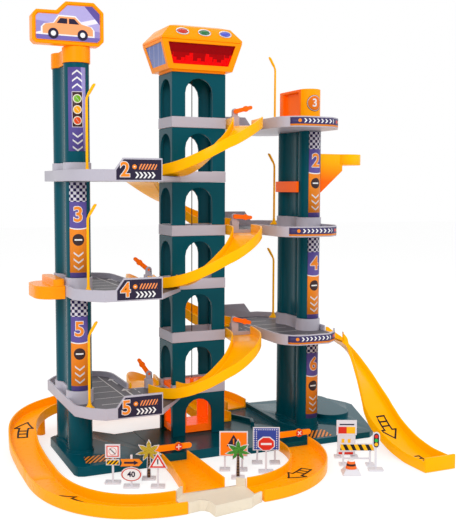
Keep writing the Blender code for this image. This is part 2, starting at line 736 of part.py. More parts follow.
def build_helipad():
    """Landing pad with two ribs, held by a spring clip round the right column."""
    top = PAD_BOTTOM + PAD_THICK
    clip_in = LOBE_R + SEAT_GAP
    clip_x = COLUMN_X + clip_in
    line = [(COLUMN_X + clip_in, -PAD_NECK_HALF)]
    line += arc(COLUMN_X, LOBE_Y, clip_in, 0, 180, 12)
    line += [(COLUMN_X - clip_in, -PAD_NECK_HALF)]
    clip = prism(strip(line, -CLIP_WALL), CLIP_BOTTOM, CLIP_TOP)
    neck = box((clip_x, -PAD_NECK_HALF, PAD_BOTTOM), (PAD_NECK_END + 0.002, PAD_NECK_HALF, top))
    pad = prism(rounded(PAD_NECK_END, -PAD_HALF, PAD_END, PAD_HALF, 0.016, 5), PAD_BOTTOM, top)
    adds = [pad, clip]
    for y in (-PAD_NECK_HALF, PAD_NECK_HALF - 0.004):
        rib_end = PAD_NECK_END + 0.006
        rib_line = [(clip_x, CLIP_BOTTOM), (clip_x + CLIP_WALL, CLIP_BOTTOM),
                    (rib_end, PAD_BOTTOM - 0.0082), (rib_end, PAD_BOTTOM + 0.001),
                    (clip_x, PAD_BOTTOM + 0.001)]
        adds.append(along_y(prism(rib_line, -y - 0.004, -y)))
    place("helipad", solve(neck, adds=adds), YELLOW)


def build_shelf():
    """Round-cornered shelf on the outer end of the middle left deck."""
    low = ring_bottom(3) - SHELF_DROP
    near = -DECK_END - SEAT_GAP
    far = near - SHELF_REACH
    outline = [(near, -SHELF_HALF), (near, SHELF_HALF)]
    outline += arc(far + 0.022, SHELF_HALF - 0.022, 0.022, 90, 180, 5)
    outline += arc(far + 0.022, -SHELF_HALF + 0.022, 0.022, 180, 270, 5)
    body = prism(outline, low, low + SHELF_THICK)
    block = prism(rounded(near - 0.014, -SHELF_HALF + 0.001, near, SHELF_HALF - 0.001, 0.005), low + 0.002,
                  ring_bottom(3) + RING_HEIGHT + 0.0075)
    tab = box((near - 0.004, -0.015, low), (near + TAB_REACH, 0.015, ring_bottom(3) - SEAT_GAP))
    place("deck_shelf", solve(body, adds=[block, tab]), ORANGE)


# Street lamps and gates

def lamp():
    """A lamp post on a cone foot, its tip leaning towards +X."""
    rings = []
    profile = [(0, LAMP_FOOT_R, 0), (0, LAMP_FOOT_R, 0.001), (0, LAMP_R + 0.001, 0.004), (0, LAMP_R, 0.006),
               (0, LAMP_R, LAMP_BEND), (LAMP_LEAN, LAMP_R, LAMP_HEIGHT)]
    for x, radius, z in profile:
        rings.append([(x + px, py, z) for px, py in disc(0, 0, radius, 10)])
    return loft(rings)


def build_lamps():
    mesh = solve(lamp())
    for index in range(1, RING_COUNT + 1):
        left = index % 2 == 1
        sign = -1 if left else 1
        z = ring_bottom(index) + DECK_FLOOR + 0.0015 + SEAT_GAP
        side = "left" if left else "right"
        turn = 0.0 if left else math.pi
        place(f"{side}_lamp_{(index + 1) // 2}", mesh, YELLOW,
              at=(sign * COLUMN_X, sign * LAMP_Y, z), turn_z=turn)


def boom(length, height, pin_length):
    """A gate arm along +X from its pin, in the XZ plane, with a disc and a round end."""
    half = height / 2
    bar = along_y(prism(arc(0, 0, half + 0.0005, 90, 270, 6) + arc(length - half, 0, half, -90, 90, 6),
                        0, BOOM_THICK))
    badge = along_y(prism(disc(length * 0.6, 0, height * 0.78, 16), 0, BOOM_THICK + 0.0006))
    pin = along_y(prism(disc(0, 0, PIN_R, 10), -pin_length, 0.001))
    return solve(bar, adds=[badge, pin])


def build_gates():
    pin_length = LUG_THICK + SEAT_GAP
    mesh = boom(DECK_BOOM, BOOM_HEIGHT, pin_length)
    rest_angles = {1: 56.0, 2: -14.0, 3: 40.0, 4: -4.0, 5: 0.0, 6: 15.0}
    for index, angle in rest_angles.items():
        left = index % 2 == 1
        sign = -1 if left else 1
        side = "left" if left else "right"
        y = -sign * (MOUTH_Y + SEAT_GAP)
        z = ring_bottom(index) + RING_HEIGHT + DECK_PIVOT_RISE
        place(f"{side}_deck_gate_{(index + 1) // 2}", mesh, RED_ORANGE, at=(sign * DECK_PIVOT_X, y, z),
              turn_z=math.pi if left else 0.0, turn_y=-math.radians(angle))
    base_mesh = boom(BASE_BOOM, 0.0068, pin_length)
    for name, x, front in (("left_base_gate", LEFT_PIVOT_X, MIDDLE_PLATE_FRONT),
                           ("right_base_gate", RIGHT_PIVOT_X, RIGHT_PLATE_FRONT)):
        place(name, base_mesh, ORANGE, at=(x, front - SEAT_GAP, BASE_PIVOT_Z))


# Base plates

def gate_lug(x, front, floor):
    """A lug at the front edge of a plate, with its pin hole."""
    line = arc(x, BASE_PIVOT_Z, LUG_R, 0, 180, 8) + [(x - LUG_R, floor - 0.001), (x + LUG_R, floor - 0.001)]
    lug = along_y(prism(line, -front - LUG_THICK, -front))
    hole = along_y(prism(disc(x, BASE_PIVOT_Z, PIN_R + PIN_FIT, 10), -0.2, 0.2))
    return block_of(solve(lug, cuts=[hole]))


def build_bases():
    split = -0.0752
    left = [(-0.184, LEFT_PLATE_FRONT + 0.010), (-0.181, LEFT_PLATE_FRONT + 0.003),
            (-0.174, LEFT_PLATE_FRONT), (-0.086, LEFT_PLATE_FRONT),
            (split - 0.0078, MIDDLE_PLATE_FRONT), (split - SEAT_GAP, MIDDLE_PLATE_FRONT),
            (split - SEAT_GAP, 0.025), (-0.102, 0.023), (-0.125, 0.049), (-0.178, 0.048), (-0.184, 0.042)]
    lug = gate_lug(LEFT_PIVOT_X, MIDDLE_PLATE_FRONT, BASE_TOP)
    foot = turned(prism(column_outline(COLLAR_PROUD), 0.001, BASE_TOP + 0.004),
                  Matrix.Translation((-COLUMN_X, 0, 0)))
    seat = turned(prism(column_outline(SEAT_GAP), BASE_TOP, BASE_TOP + 0.02),
                  Matrix.Translation((-COLUMN_X, 0, 0)))
    place("left_base", solve(prism(left, 0, BASE_TOP), adds=[foot, lug], cuts=[seat]), TEAL)

    right_split = TOWER_X + 0.0007
    middle_back = RAMP_END_Y - 0.003
    middle = box((split, MIDDLE_PLATE_FRONT, 0), (right_split, middle_back, BASE_TOP))
    place("middle_base", middle, TEAL)

    right = [(right_split + SEAT_GAP, RIGHT_PLATE_FRONT), (0.225, RIGHT_PLATE_FRONT), (0.236, -0.086),
             (0.284, 0.044), (0.282, 0.058), (0.264, 0.104), (0.256, 0.110), (0.092, 0.118),
             (right_split + SEAT_GAP, 0.070)]
    far_kerb = prism(strip([(0.127, 0.100), (0.124, -0.020), (0.137, -0.064)], KERB_WALL),
                     0.001, SIDE_PLATE_TOP + KERB_RISE)
    near_kerb = prism(strip([(0.082, 0.050), (0.099, 0.013), (0.092, -0.006)], -KERB_WALL),
                      0.001, SIDE_PLATE_TOP + KERB_RISE)
    pad_end = 0.028
    pad = prism(arc(0.222, 0.008, pad_end, 180, 360, 12) + arc(0.228, 0.076, pad_end, 0, 180, 12),
                0.001, SIDE_PLATE_TOP + KERB_RISE)
    right_foot = turned(prism(column_outline(COLLAR_PROUD), 0.001, SIDE_PLATE_TOP + 0.004),
                        Matrix.Translation((COLUMN_X, 0, 0)))
    right_seat = turned(prism(column_outline(SEAT_GAP), SIDE_PLATE_TOP, SIDE_PLATE_TOP + 0.02),
                        Matrix.Translation((COLUMN_X, 0, 0)))
    right_lug = gate_lug(RIGHT_PIVOT_X, RIGHT_PLATE_FRONT, SIDE_PLATE_TOP)
    shape = solve(prism(right, 0, SIDE_PLATE_TOP), adds=[far_kerb, near_kerb, pad, right_foot, right_lug],
                  cuts=[right_seat])
    place("right_base", shape, TEAL)


# Tracks on the floor and the slide

def build_tracks():
    start = MIDDLE_PLATE_FRONT - SEAT_GAP
    line = [(-0.0575, start, 0), (-0.0575, start - 0.004, 0), (-0.0585, -0.130, 0), (-0.0610, -0.165, 0),
            (-0.0632, -0.1930, 0), (-0.0632, -0.1965, 0)]
    place("straight_track", track(line, [0.036, 0.036, 0.040, 0.045, 0.050, 0.050]), ORANGE)

    curve_start = RIGHT_PLATE_FRONT - SEAT_GAP
    curve = [(0.106, curve_start, 0)]
    for i in range(17):
        a = math.radians(90 * i / 16)
        curve.append((-0.013 + 0.119 * math.cos(a), curve_start - 0.002 - 0.1325 * math.sin(a), 0))
    curve.append((-0.0155, curve[-1][1], 0))
    place("curve_track", track(curve, [CURVE_WIDTH] * len(curve)), ORANGE)

    joint_y = -0.088
    loop = [(-0.1045, -0.2315, 0)]
    for i in range(15):
        a = math.radians(90 * i / 14)
        power = 2 / 2.3
        loop.append((-0.107 - 0.117 * math.sin(a) ** power, -0.090 - 0.1415 * math.cos(a) ** power, 0))
    loop.append((-0.224, joint_y, 0))
    widths = [0.038 + (BRIDGE_WIDTH - 0.038) * i / len(loop) for i in range(len(loop))]
    place("loop_track", track(loop, widths), ORANGE)

    route = [(-0.224, -0.070, 0.0), (-0.224, -0.030, 0.001), (-0.224, 0.015, 0.009), (-0.214, 0.062, 0.021),
             (-0.184, 0.101, 0.028), (-0.130, 0.128, 0.031), (-0.060, 0.146, 0.030), (0.010, 0.151, 0.0265),
             (0.066, 0.144, 0.020), (0.098, 0.121, 0.0125), (0.107, 0.086, SIDE_PLATE_TOP + SEAT_GAP)]
    line = [Vector((-0.224, joint_y + SEAT_GAP, 0.0))] + smooth_line(route, 3)
    line = [Vector((p.x, p.y, max(p.z, 0.0))) for p in line]
    bridge = track(line, [BRIDGE_WIDTH] * len(line))
    piers = []
    for x, y, top in ((-0.184, 0.101, 0.029), (-0.060, 0.146, 0.031), (0.066, 0.144, 0.021)):
        piers.append(prism(disc(x, y, 0.006, 10), 0, top))
    place("bridge_track", solve(bridge, adds=piers), ORANGE)

    build_junction()
    build_slide()


def build_junction():
    """Cream plate that joins the two curves and the straight track."""
    front = [(-0.104, -0.2495), (-0.0895, -0.2470), (-0.0850, -0.2490), (-0.0820, -0.2540),
             (-0.0815, -0.2690), (-0.0360, -0.2620), (-0.0290, -0.2560), (-0.0180, -0.2505)]
    plate = [(-0.104, -0.2105)] + front + [(-0.0160, -0.2060), (-0.0240, -0.1970), (-0.0930, -0.1970)]
    body = prism(plate, 0.0, JUNCTION_FLOOR)
    wall = prism(strip(front, WALL_THICK), 0.0, JUNCTION_WALL)
    left_wall = prism(strip([(-0.0930, -0.1990), (-0.104, -0.2105)], WALL_THICK), 0.0, JUNCTION_WALL)
    right_wall = prism(strip([(-0.0160, -0.2060), (-0.0240, -0.1975)], WALL_THICK), 0.0, JUNCTION_WALL)
    place("track_junction", solve(body, adds=[wall, left_wall, right_wall]), CREAM)


def build_slide():
    """Slide from the lowest right deck: a quarter turn, then straight down to the floor."""
    top = ring_bottom(2) - SEAT_GAP - TAB_THICK
    start_x = DECK_END + SEAT_GAP
    first_y = -EXIT_START - SLIDE_WIDTH / 2
    turn_x = start_x + 0.001
    turn_y = first_y - SLIDE_TURN
    route = [(start_x, first_y, top), (turn_x, first_y, top)]
    for i, z in enumerate(SLIDE_TURN_HEIGHTS, 1):
        a = math.radians(90 - 90 * i / len(SLIDE_TURN_HEIGHTS))
        route.append((turn_x + SLIDE_TURN * math.cos(a), turn_y + SLIDE_TURN * math.sin(a), z))
    x = turn_x + SLIDE_TURN
    route += [(x, turn_y - 0.018, 0.0210), (x, turn_y - 0.050, 0.0075), (x, turn_y - 0.080, 0.0012),
              (x, turn_y - 0.098, 0.0), (x, SLIDE_END_Y, 0.0)]
    line = [Vector(route[0])] + smooth_line(route[1:], 2)
    line = [Vector((p.x, p.y, max(p.z, 0.0))) for p in line]
    body = track(line, [SLIDE_WIDTH] * len(line))
    half = SLIDE_WIDTH / 2 - 0.0005
    stop = box((x - half, SLIDE_END_Y - WALL_THICK, 0.0), (x + half, SLIDE_END_Y + 0.001, 0.0180))
    tab = box((start_x - TAB_REACH, first_y - 0.006, top + 0.0004),
              (start_x + 0.003, first_y + 0.014, top + TAB_THICK))
    place("exit_slide", solve(body, adds=[stop, tab]), YELLOW)


for existing in list(bpy.data.objects):
    bpy.data.objects.remove(existing)

build_bases()
build_tower()
build_columns()
build_column_cap()
build_booth()
build_decks()
build_ramps()
build_lift()
build_cab()
build_sign_board()
build_helipad()
build_shelf()
build_lamps()
build_gates()
build_tracks()
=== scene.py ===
import math
from collections import namedtuple

import bmesh
import bpy
from mathutils import Matrix, Vector


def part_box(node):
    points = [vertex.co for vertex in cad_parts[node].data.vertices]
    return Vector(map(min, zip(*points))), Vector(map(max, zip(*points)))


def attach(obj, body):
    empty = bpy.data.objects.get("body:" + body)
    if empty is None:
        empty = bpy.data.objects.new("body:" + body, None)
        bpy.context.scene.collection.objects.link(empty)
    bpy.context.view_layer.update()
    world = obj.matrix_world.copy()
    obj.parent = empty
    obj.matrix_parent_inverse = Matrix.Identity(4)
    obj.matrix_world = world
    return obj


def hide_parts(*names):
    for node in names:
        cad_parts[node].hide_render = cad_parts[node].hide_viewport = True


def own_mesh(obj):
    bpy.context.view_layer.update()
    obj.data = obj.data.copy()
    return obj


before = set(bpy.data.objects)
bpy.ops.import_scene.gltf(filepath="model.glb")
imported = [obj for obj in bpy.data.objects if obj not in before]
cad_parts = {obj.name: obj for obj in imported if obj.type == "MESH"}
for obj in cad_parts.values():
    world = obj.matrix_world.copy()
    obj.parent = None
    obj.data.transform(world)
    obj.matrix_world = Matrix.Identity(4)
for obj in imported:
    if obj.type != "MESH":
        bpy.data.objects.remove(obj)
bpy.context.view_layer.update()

# Studio: a white floor that keeps the toy's shadow, a white surround and three soft lamps.
# The camera stands a little to the left of the front, as high as the middle of the tower.
YAW = 0.42446
PITCH = 0.085946
ROLL = 0.0039826
EYE = (-0.42595, -1.06027, 0.34289)
LENS = 67.495
FLOOR_Z = -0.0004

camera_data = bpy.data.cameras.new("camera")
camera_data.sensor_fit = "HORIZONTAL"
camera_data.sensor_width = 36
camera_data.lens = LENS
camera_data.clip_start = 0.05
camera_data.clip_end = 20
camera = bpy.data.objects.new("camera", camera_data)
bpy.context.scene.collection.objects.link(camera)
forward = Vector((math.sin(YAW) * math.cos(PITCH), math.cos(YAW) * math.cos(PITCH),
                  -math.sin(PITCH)))
level = Vector((math.cos(YAW), -math.sin(YAW), 0))
upward = level.cross(forward)
across = level * math.cos(ROLL) + upward * math.sin(ROLL)
top = upward * math.cos(ROLL) - level * math.sin(ROLL)
camera.matrix_world = (Matrix.Translation(EYE)
                       @ Matrix((across, top, -forward)).transposed().to_4x4())
bpy.context.scene.camera = camera
bpy.context.scene.view_settings.view_transform = "Standard"


class Field:
    """A number that varies over a surface. Arithmetic on it adds Math nodes."""

    def __init__(self, tree, socket):
        self.tree = tree
        self.socket = socket

    def math(self, operation, *others, swapped=False):
        node = self.tree.nodes.new("ShaderNodeMath")
        node.operation = operation
        values = (*others, self) if swapped else (self, *others)
        for entry, value in zip(node.inputs, values):
            if isinstance(value, Field):
                self.tree.links.new(value.socket, entry)
            else:
                entry.default_value = value
        return Field(self.tree, node.outputs[0])

    def __add__(self, other):
        return self.math("ADD", other)

    def __sub__(self, other):
        return self.math("SUBTRACT", other)

    def __rsub__(self, other):
        return self.math("SUBTRACT", other, swapped=True)

    def __mul__(self, other):
        return self.math("MULTIPLY", other)

    def __truediv__(self, other):
        return self.math("DIVIDE", other)

    def __lt__(self, other):
        return self.math("LESS_THAN", other)

    def __gt__(self, other):
        return self.math("GREATER_THAN", other)

    def __or__(self, other):
        return self.math("MAXIMUM", other)

    def __and__(self, other):
        return self.math("MINIMUM", other)

    def __abs__(self):
        return self.math("ABSOLUTE")

    __radd__ = __add__
    __rmul__ = __mul__

    def near(self, centre, half):
        """1 where the value lies within half of the centre."""
        return abs(self - centre) < half

    def between(self, low, high):
        return self.near((low + high) / 2, (high - low) / 2)

    def part(self):
        """What is left after the decimal point."""
        return self.math("FRACT")


class Finish:
    """A Principled material that is being put together."""

    def __init__(self, name):
        self.material = bpy.data.materials.new(name)
        self.material.use_nodes = True
        self.tree = self.material.node_tree
        self.shader = self.tree.nodes["Principled BSDF"]

    def feed(self, entry, value):
        if isinstance(value, Field):
            value = value.socket
        if isinstance(value, bpy.types.NodeSocket):
            self.tree.links.new(value, entry)
        else:
            entry.default_value = value

    def node(self, kind, settings, sockets):
        made = self.tree.nodes.new(kind)
        for key, value in settings.items():
            setattr(made, key, value)
        for key, value in sockets.items():
            self.feed(made.inputs[key], value)
        return made

    def where(self, kind="Object"):
        """The x, y and z of the object's place, or of its UV map."""
        source = self.node("ShaderNodeTexCoord", {}, {}).outputs[kind]
        split = self.node("ShaderNodeSeparateXYZ", {}, {"Vector": source})
        return [Field(self.tree, socket) for socket in split.outputs]

    def noise(self, scale, detail=2.0):
        source = self.node("ShaderNodeTexCoord", {}, {}).outputs["Object"]
        sockets = {"Vector": source, "Scale": scale, "Detail": detail}
        return Field(self.tree, self.node("ShaderNodeTexNoise", {}, sockets).outputs["Fac"])

    def blend(self, mask, under, over, mode="MIX"):
        """The colour under, painted over where the mask is 1."""
        settings = {"data_type": "RGBA", "blend_type": mode}
        return self.node("ShaderNodeMix", settings, {0: mask, 6: under, 7: over}).outputs[2]

    def layers(self, colour, *painted):
        """The colour with pairs of a mask and a colour painted over it, one after another."""
        for mask, over in painted:
            colour = self.blend(mask, colour, over)
        return colour

    def gloss(self, colour, roughness=0.3, grain=0.02, level=0.12, scuff=0.08, mottle=0.2,
              glow=0.0):
        """Moulded or printed plastic: faint clouds, uneven polish, a fine grain and a glow, which
        is painted light.
        """
        clouds, rubs, grains, waves = 24.0, 160.0, 1400.0, 60.0
        haze = (0.82, 0.82, 0.84, 1.0)
        relief = 0.0003
        clouded = self.blend(self.noise(clouds) * mottle, colour, haze, "MULTIPLY")
        self.feed(self.shader.inputs["Base Color"], clouded)
        rubbed = (self.noise(rubs, 5.0) - 0.5) * scuff + roughness
        self.feed(self.shader.inputs["Roughness"], rubbed)
        height = self.noise(grains) * 0.3 + self.noise(waves, 1.0)
        sockets = {"Strength": grain, "Distance": relief, "Height": height}
        bump = self.node("ShaderNodeBump", {}, sockets)
        self.feed(self.shader.inputs["Normal"], bump.outputs[0])
        self.shader.inputs["Specular IOR Level"].default_value = level
        # The glow is painted light: the plastic gives off light of its own colour, which brightens
        # its shaded sides.
        if glow:
            self.feed(self.shader.inputs["Emission Color"], clouded)
            self.shader.inputs["Emission Strength"].default_value = glow
        return self.material


def srgb(red, green, blue):
    """A colour as it is read off a screen, 0 to 255, as Blender's linear one."""
    result = []
    for value in (red, green, blue):
        share = value / 255
        result.append(share / 12.92 if share <= 0.04045 else ((share + 0.055) / 1.055) ** 2.4)
    return (*result, 1.0)


def moulded(name, colour, roughness=0.3, **options):
    return Finish(name).gloss(srgb(*colour), roughness, **options)


def shown(name, bm, finish):
    """Puts a finished mesh of one material into the scene as an object at the origin."""
    mesh = bpy.data.meshes.new(name)
    bm.to_mesh(mesh)
    bm.free()
    mesh.materials.append(finish)
    piece = bpy.data.objects.new(name, mesh)
    bpy.context.scene.collection.objects.link(piece)
    return piece


def seen_plainly(tree):
    """1 for what the camera sees, straight or by way of a gloss or a clear pane."""
    path = tree.nodes.new("ShaderNodeLightPath")
    straight, mirrored, through = (
        Field(tree, path.outputs[kind])
        for kind in ("Is Camera Ray", "Is Glossy Ray", "Is Transmission Ray"))
    return straight | mirrored | through


FLOOR_SIZE = 6.0
FLOOR_WHITE = 0.55
white_floor = Finish("studio_floor")
white_floor.shader.inputs["Roughness"].default_value = 0.9
white_floor.shader.inputs["Specular IOR Level"].default_value = 0.1
dusty = white_floor.blend(white_floor.noise(3.0) * 0.2, (0.93, 0.93, 0.93, 1.0),
                          (0.90, 0.90, 0.90, 1.0))
white_floor.feed(white_floor.shader.inputs["Base Color"], dusty)
plain = white_floor.node("ShaderNodeEmission", {}, {"Color": (1, 1, 1, 1), "Strength": 1.25})
floor_mix = white_floor.node("ShaderNodeMixShader", {}, {
    0: seen_plainly(white_floor.tree) * FLOOR_WHITE,
    1: white_floor.shader.outputs[0],
    2: plain.outputs[0]})
white_floor.feed(white_floor.tree.nodes["Material Output"].inputs[0], floor_mix.outputs[0])
bm = bmesh.new()
bmesh.ops.create_grid(bm, x_segments=8, y_segments=8, size=FLOOR_SIZE,
                      matrix=Matrix.Translation((0, 0, FLOOR_Z)))
floor = shown("studio_floor", bm, white_floor.material)

world = bpy.data.worlds.new("studio")
world.use_nodes = True
sky = world.node_tree
surround = sky.nodes["Background"]
backdrop = sky.nodes.new("ShaderNodeBackground")
for background, strength in ((surround, 0.70), (backdrop, 1.0)):
    background.inputs["Color"].default_value = (1.0, 1.0, 1.0, 1.0)
    background.inputs["Strength"].default_value = strength
mixer = sky.nodes.new("ShaderNodeMixShader")
sky.links.new(seen_plainly(sky).socket, mixer.inputs[0])
sky.links.new(surround.outputs[0], mixer.inputs[1])
sky.links.new(backdrop.outputs[0], mixer.inputs[2])
sky.links.new(mixer.outputs[0], sky.nodes["World Output"].inputs[0])
bpy.context.scene.world = world

for lamp_name, spot, size, power in (
        ("key_lamp", (-1.1, -1.5, 1.3), 0.9, 16.0),
        ("fill_lamp", (1.5, -1.3, 0.8), 1.2, 6.0),
        ("top_lamp", (0.1, 0.3, 1.9), 1.4, 7.0)):
    light = bpy.data.lights.new(lamp_name, "AREA")
    light.shape = "SQUARE"
    light.size = size
    light.energy = power
    lamp = bpy.data.objects.new(lamp_name, light)
    lamp.location = spot
    lamp.rotation_euler = (Vector((0, 0, 0.25)) - Vector(spot)).to_track_quat("-Z", "Y").to_euler()
    bpy.context.scene.collection.objects.link(lamp)

# Base plates: three flat teal mouldings that lie side by side on the table, with raised kerbs.
# Each is a copy of its solid with its edges rounded, as a mould leaves them.
TEAL = (0, 78, 92)
STEP = 0.070
RING = 0.0137
DECK_FLOOR = 0.0065
PLATE_TOP = 0.012
SIDE_PLATE_TOP = 0.008
GAP = 0.0003


def dressed(name, bm, finish, body="garage", smooth=0, replaced=()):
    """A finished piece on its body. Corners sharper than smooth, in degrees, stay sharp."""
    piece = shown(name, bm, finish)
    if smooth:
        for face in piece.data.polygons:
            face.use_smooth = True
        piece.data.set_sharp_from_angle(angle=math.radians(smooth))
    if replaced:
        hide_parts(*replaced)
    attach(piece, body)
    return piece


def thickened(piece, thickness, offset=1.0):
    """Gives a sheet its thickness, outwards unless told otherwise."""
    skin = piece.modifiers.new("thickness", "SOLIDIFY")
    skin.thickness = thickness
    skin.offset = offset
    return skin


def edged(piece, width, angle=30, clamped=True):
    """Rounds the edges of a piece that are sharper than the angle."""
    rim = piece.modifiers.new("edges", "BEVEL")
    rim.width = width
    rim.segments = 2
    rim.limit_method = "ANGLE"
    rim.angle_limit = math.radians(angle)
    rim.use_clamp_overlap = clamped
    return rim


def rounded_copy(node, finish, body="garage", edge=0.0005, angle=42, joined=True):
    """A solid of the frame with rounded edges, and its flat faces joined unless told not to."""
    bm = bmesh.new()
    bm.from_mesh(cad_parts[node].data)
    bmesh.ops.remove_doubles(bm, verts=bm.verts, dist=0.00001)
    if joined:
        bmesh.ops.dissolve_limit(bm, angle_limit=math.radians(0.4), verts=bm.verts,
                                 edges=bm.edges)
    piece = dressed(node + "_moulding", bm, finish, body, 38, (node,))
    edged(piece, edge, angle, False).harden_normals = True


def ring_bottom(index):
    """Underside of a deck's ring on the tower, 1 at the bottom to 6 at the top."""
    return PLATE_TOP + index * STEP - RING


teal = moulded("teal_plastic", TEAL, 0.22, level=0.09)
for node in ("left_base", "middle_base", "right_base"):
    rounded_copy(node, teal)

# Lift tower: seven square teal storeys with an arch in every face, stacked on the rings of the
# decks. Each is one hollow moulding.
for number in range(1, 8):
    rounded_copy(f"tower_storey_{number}", teal, edge=0.0006)

# Columns: hollow teal lengths, two round lobes joined by a web, pushed into the decks' collars.
for node in [f"left_column_{n}" for n in (1, 2, 3, 4)] + [f"right_column_{n}" for n in (1, 2, 3)]:
    rounded_copy(node, teal, edge=0.0003, angle=70)

# Decks: grey trays with a rim, a ring that fits between two storeys and a collar for the column.
# Their floors are covered by a printed grey sheet with parking bays.
GREY = (186, 182, 194)
DECK_END = 0.180
DECK_SIDE = 0.107
DECK_NECK = 0.086
COLUMN_X = 0.1621
RIM_INSET = 0.0034
PRINT = 0.0002
UNDER_PRINT = 0.00003
WHITE = srgb(238, 238, 238)

grey = moulded("grey_plastic", GREY, 0.34, level=0.2)
Deck = namedtuple("Deck", "side sign number low turn")
decks = []
for index in range(1, 7):
    side, sign, turn = ("left", -1, 0) if index % 2 else ("right", 1, math.pi)
    decks.append(Deck(side, sign, (index + 1) // 2, ring_bottom(index),
                      Matrix.Rotation(turn, 4, "Z")))


def face_up(bm):
    """Turns every face to look up."""
    for face in bm.faces:
        face.normal_update()
        if face.normal.z < 0:
            face.normal_flip()


def flat_sheet(name, outline, finish, matrix, thickness=PRINT, body="garage"):
    """A thin sheet from an outline in its own plane. Its UV map is in centimetres."""
    bm = bmesh.new()
    layer = bm.loops.layers.uv.new("print")
    bm.faces.new([bm.verts.new((x, y, 0)) for x, y in outline])
    face_up(bm)
    for face in bm.faces:
        for loop in face.loops:
            loop[layer].uv = loop.vert.co.xy * 100
    bmesh.ops.triangulate(bm, faces=bm.faces)
    bm.transform(matrix)
    thickened(dressed(name, bm, finish, body), thickness)


def corner(x, y, radius, start, end, steps):
    """Points of a round corner between two angles in degrees."""
    turns = [math.radians(start + (end - start) * i / steps) for i in range(steps + 1)]
    return [(x + radius * math.cos(a), y + radius * math.sin(a)) for a in turns]


def bay_print():
    """Dark grey tarmac with white bay lines, a dashed lane and arrows; the map is in cm."""
    finish = Finish("deck_print")
    x, y, _ = finish.where("UV")
    tarmac = finish.blend(finish.noise(900.0), srgb(78, 76, 84), srgb(112, 110, 118))
    bays = (x.between(-14.2, -10.6) & (((y + 40.0) / 3.1).part() < 0.05)) & y.between(-9.6, 9.6)
    lane = x.near(-10.4, 0.07) & y.between(-9.6, 9.6)
    dashes = x.near(-7.9, 0.07) & ((y / 1.6).part() < 0.5)
    lines = bays | lane | dashes
    for foot, neck, tip in ((-3.0, 0.2, 1.4), (4.0, 6.6, 7.8)):
        shaft = x.near(-9.2, 0.12) & y.between(foot, neck)
        head = (abs(x + 9.2) < (tip - y) * 0.55) & y.between(neck, tip)
        lines = lines | shaft | head
    worn = lines * (0.65 + finish.noise(300.0) * 0.4)
    return finish.gloss(finish.blend(worn, tarmac, WHITE), 0.42, grain=0.03)


tarmac_print = bay_print()
sheet_outline = [
    (-0.0400, -0.0280), (-0.0400, -0.0600), (-0.0800, -DECK_SIDE + RIM_INSET),
    (-DECK_END + 0.0295, -DECK_SIDE + RIM_INSET), (-DECK_END + 0.0150, -DECK_SIDE + 0.0155),
    (-DECK_END + RIM_INSET, -DECK_SIDE + 0.0355), (-DECK_END + RIM_INSET, DECK_SIDE - 0.0355),
    (-DECK_END + 0.0150, DECK_SIDE - 0.0155), (-DECK_END + 0.0295, DECK_SIDE - RIM_INSET),
    *corner(-DECK_NECK - 0.032, DECK_SIDE - 0.032, 0.0286, 90, 0, 8),
    (-DECK_NECK - RIM_INSET, 0.0108), (-0.0400, 0.0030)]
for deck in decks:
    node = f"{deck.side}_deck_{deck.number}"
    rounded_copy(node, grey)
    lift = Matrix.Translation((0, 0, deck.low + DECK_FLOOR + UNDER_PRINT))
    flat_sheet(node + "_floor_print", sheet_outline, tarmac_print, lift @ deck.turn,
               0.00013)

# Deck boards and rim bands: the left decks carry a dark sign board with a number on their front
# rim, the right ones a band with chevrons round the front corner. Both are thin prints.
DARK = srgb(44, 38, 60)
PRINT_ORANGE = srgb(240, 138, 40)
UPRIGHT = Matrix.Rotation(math.radians(90), 4, "X")
BOARD_FACE = -DECK_SIDE - 0.00004
STICKER = 0.00015
NUMBER_STEP = 0.0003
BOARD_NUMBER = (-0.1262, 0.0128, 0.0235)
BAND_LOW, BAND_HIGH = 0.0016, 0.0121


def stripes(along, up, pitch, lean):
    """Slanting stripes as wide as the gaps between them."""
    return ((along + up * lean) / pitch).part() < 0.5


def chevrons(along, up, centre, tips, half, thick, slope):
    """V-shaped marks that point along the up axis, one for each tip."""
    bent = up + abs(along - centre) * slope
    marks = bent.near(tips[0], thick)
    for tip in tips[1:]:
        marks = marks | bent.near(tip, thick)
    return marks & along.near(centre, half)


def squared(x, y, across, up):
    """Squared distance from a point of the print."""
    return (x - across) * (x - across) + (y - up) * (y - up)


def board_print():
    """Dark sheet with orange slants, a disc with a bar and a row of chevrons; in cm."""
    finish = Finish("deck_board_print")
    x, y, _ = finish.where("UV")
    slants = stripes(x, y, 0.38, -0.55) & x.between(-10.9, -8.7) & y.between(1.36, 2.02)
    bar = x.between(-11.55, -11.35) & y.between(1.62, 1.74)
    marks = chevrons(y, x, 0.72, (-11.0, -10.5, -10.0, -9.5, -9.0), 0.36, 0.11, 0.8)
    dot = squared(x, y, -11.45, 1.68) < 0.075
    return finish.gloss(finish.layers(DARK, (slants, srgb(244, 146, 84)), (dot, PRINT_ORANGE),
                                      (marks | bar, WHITE)))


def band_print():
    """Dark purple band with an orange lower line, chevrons and coloured discs; in cm."""
    finish = Finish("rim_band_print")
    along, up, _ = finish.where("UV")
    marks = chevrons(up, along, 0.65, (2.1, 2.7, 3.3, 3.9, 4.5, 5.1, 5.7, 6.3), 0.26, 0.10, 0.9)
    colour = finish.layers(srgb(62, 54, 98), (up < 0.22, PRINT_ORANGE), (marks, WHITE))
    for place, paint in ((1.25, PRINT_ORANGE), (7.35, srgb(225, 60, 40)),
                         (7.95, srgb(245, 180, 40)), (8.55, srgb(70, 170, 60))):
        colour = finish.blend(squared(along, up, place, 0.65) < 0.05, colour, paint)
    return finish.gloss(colour)


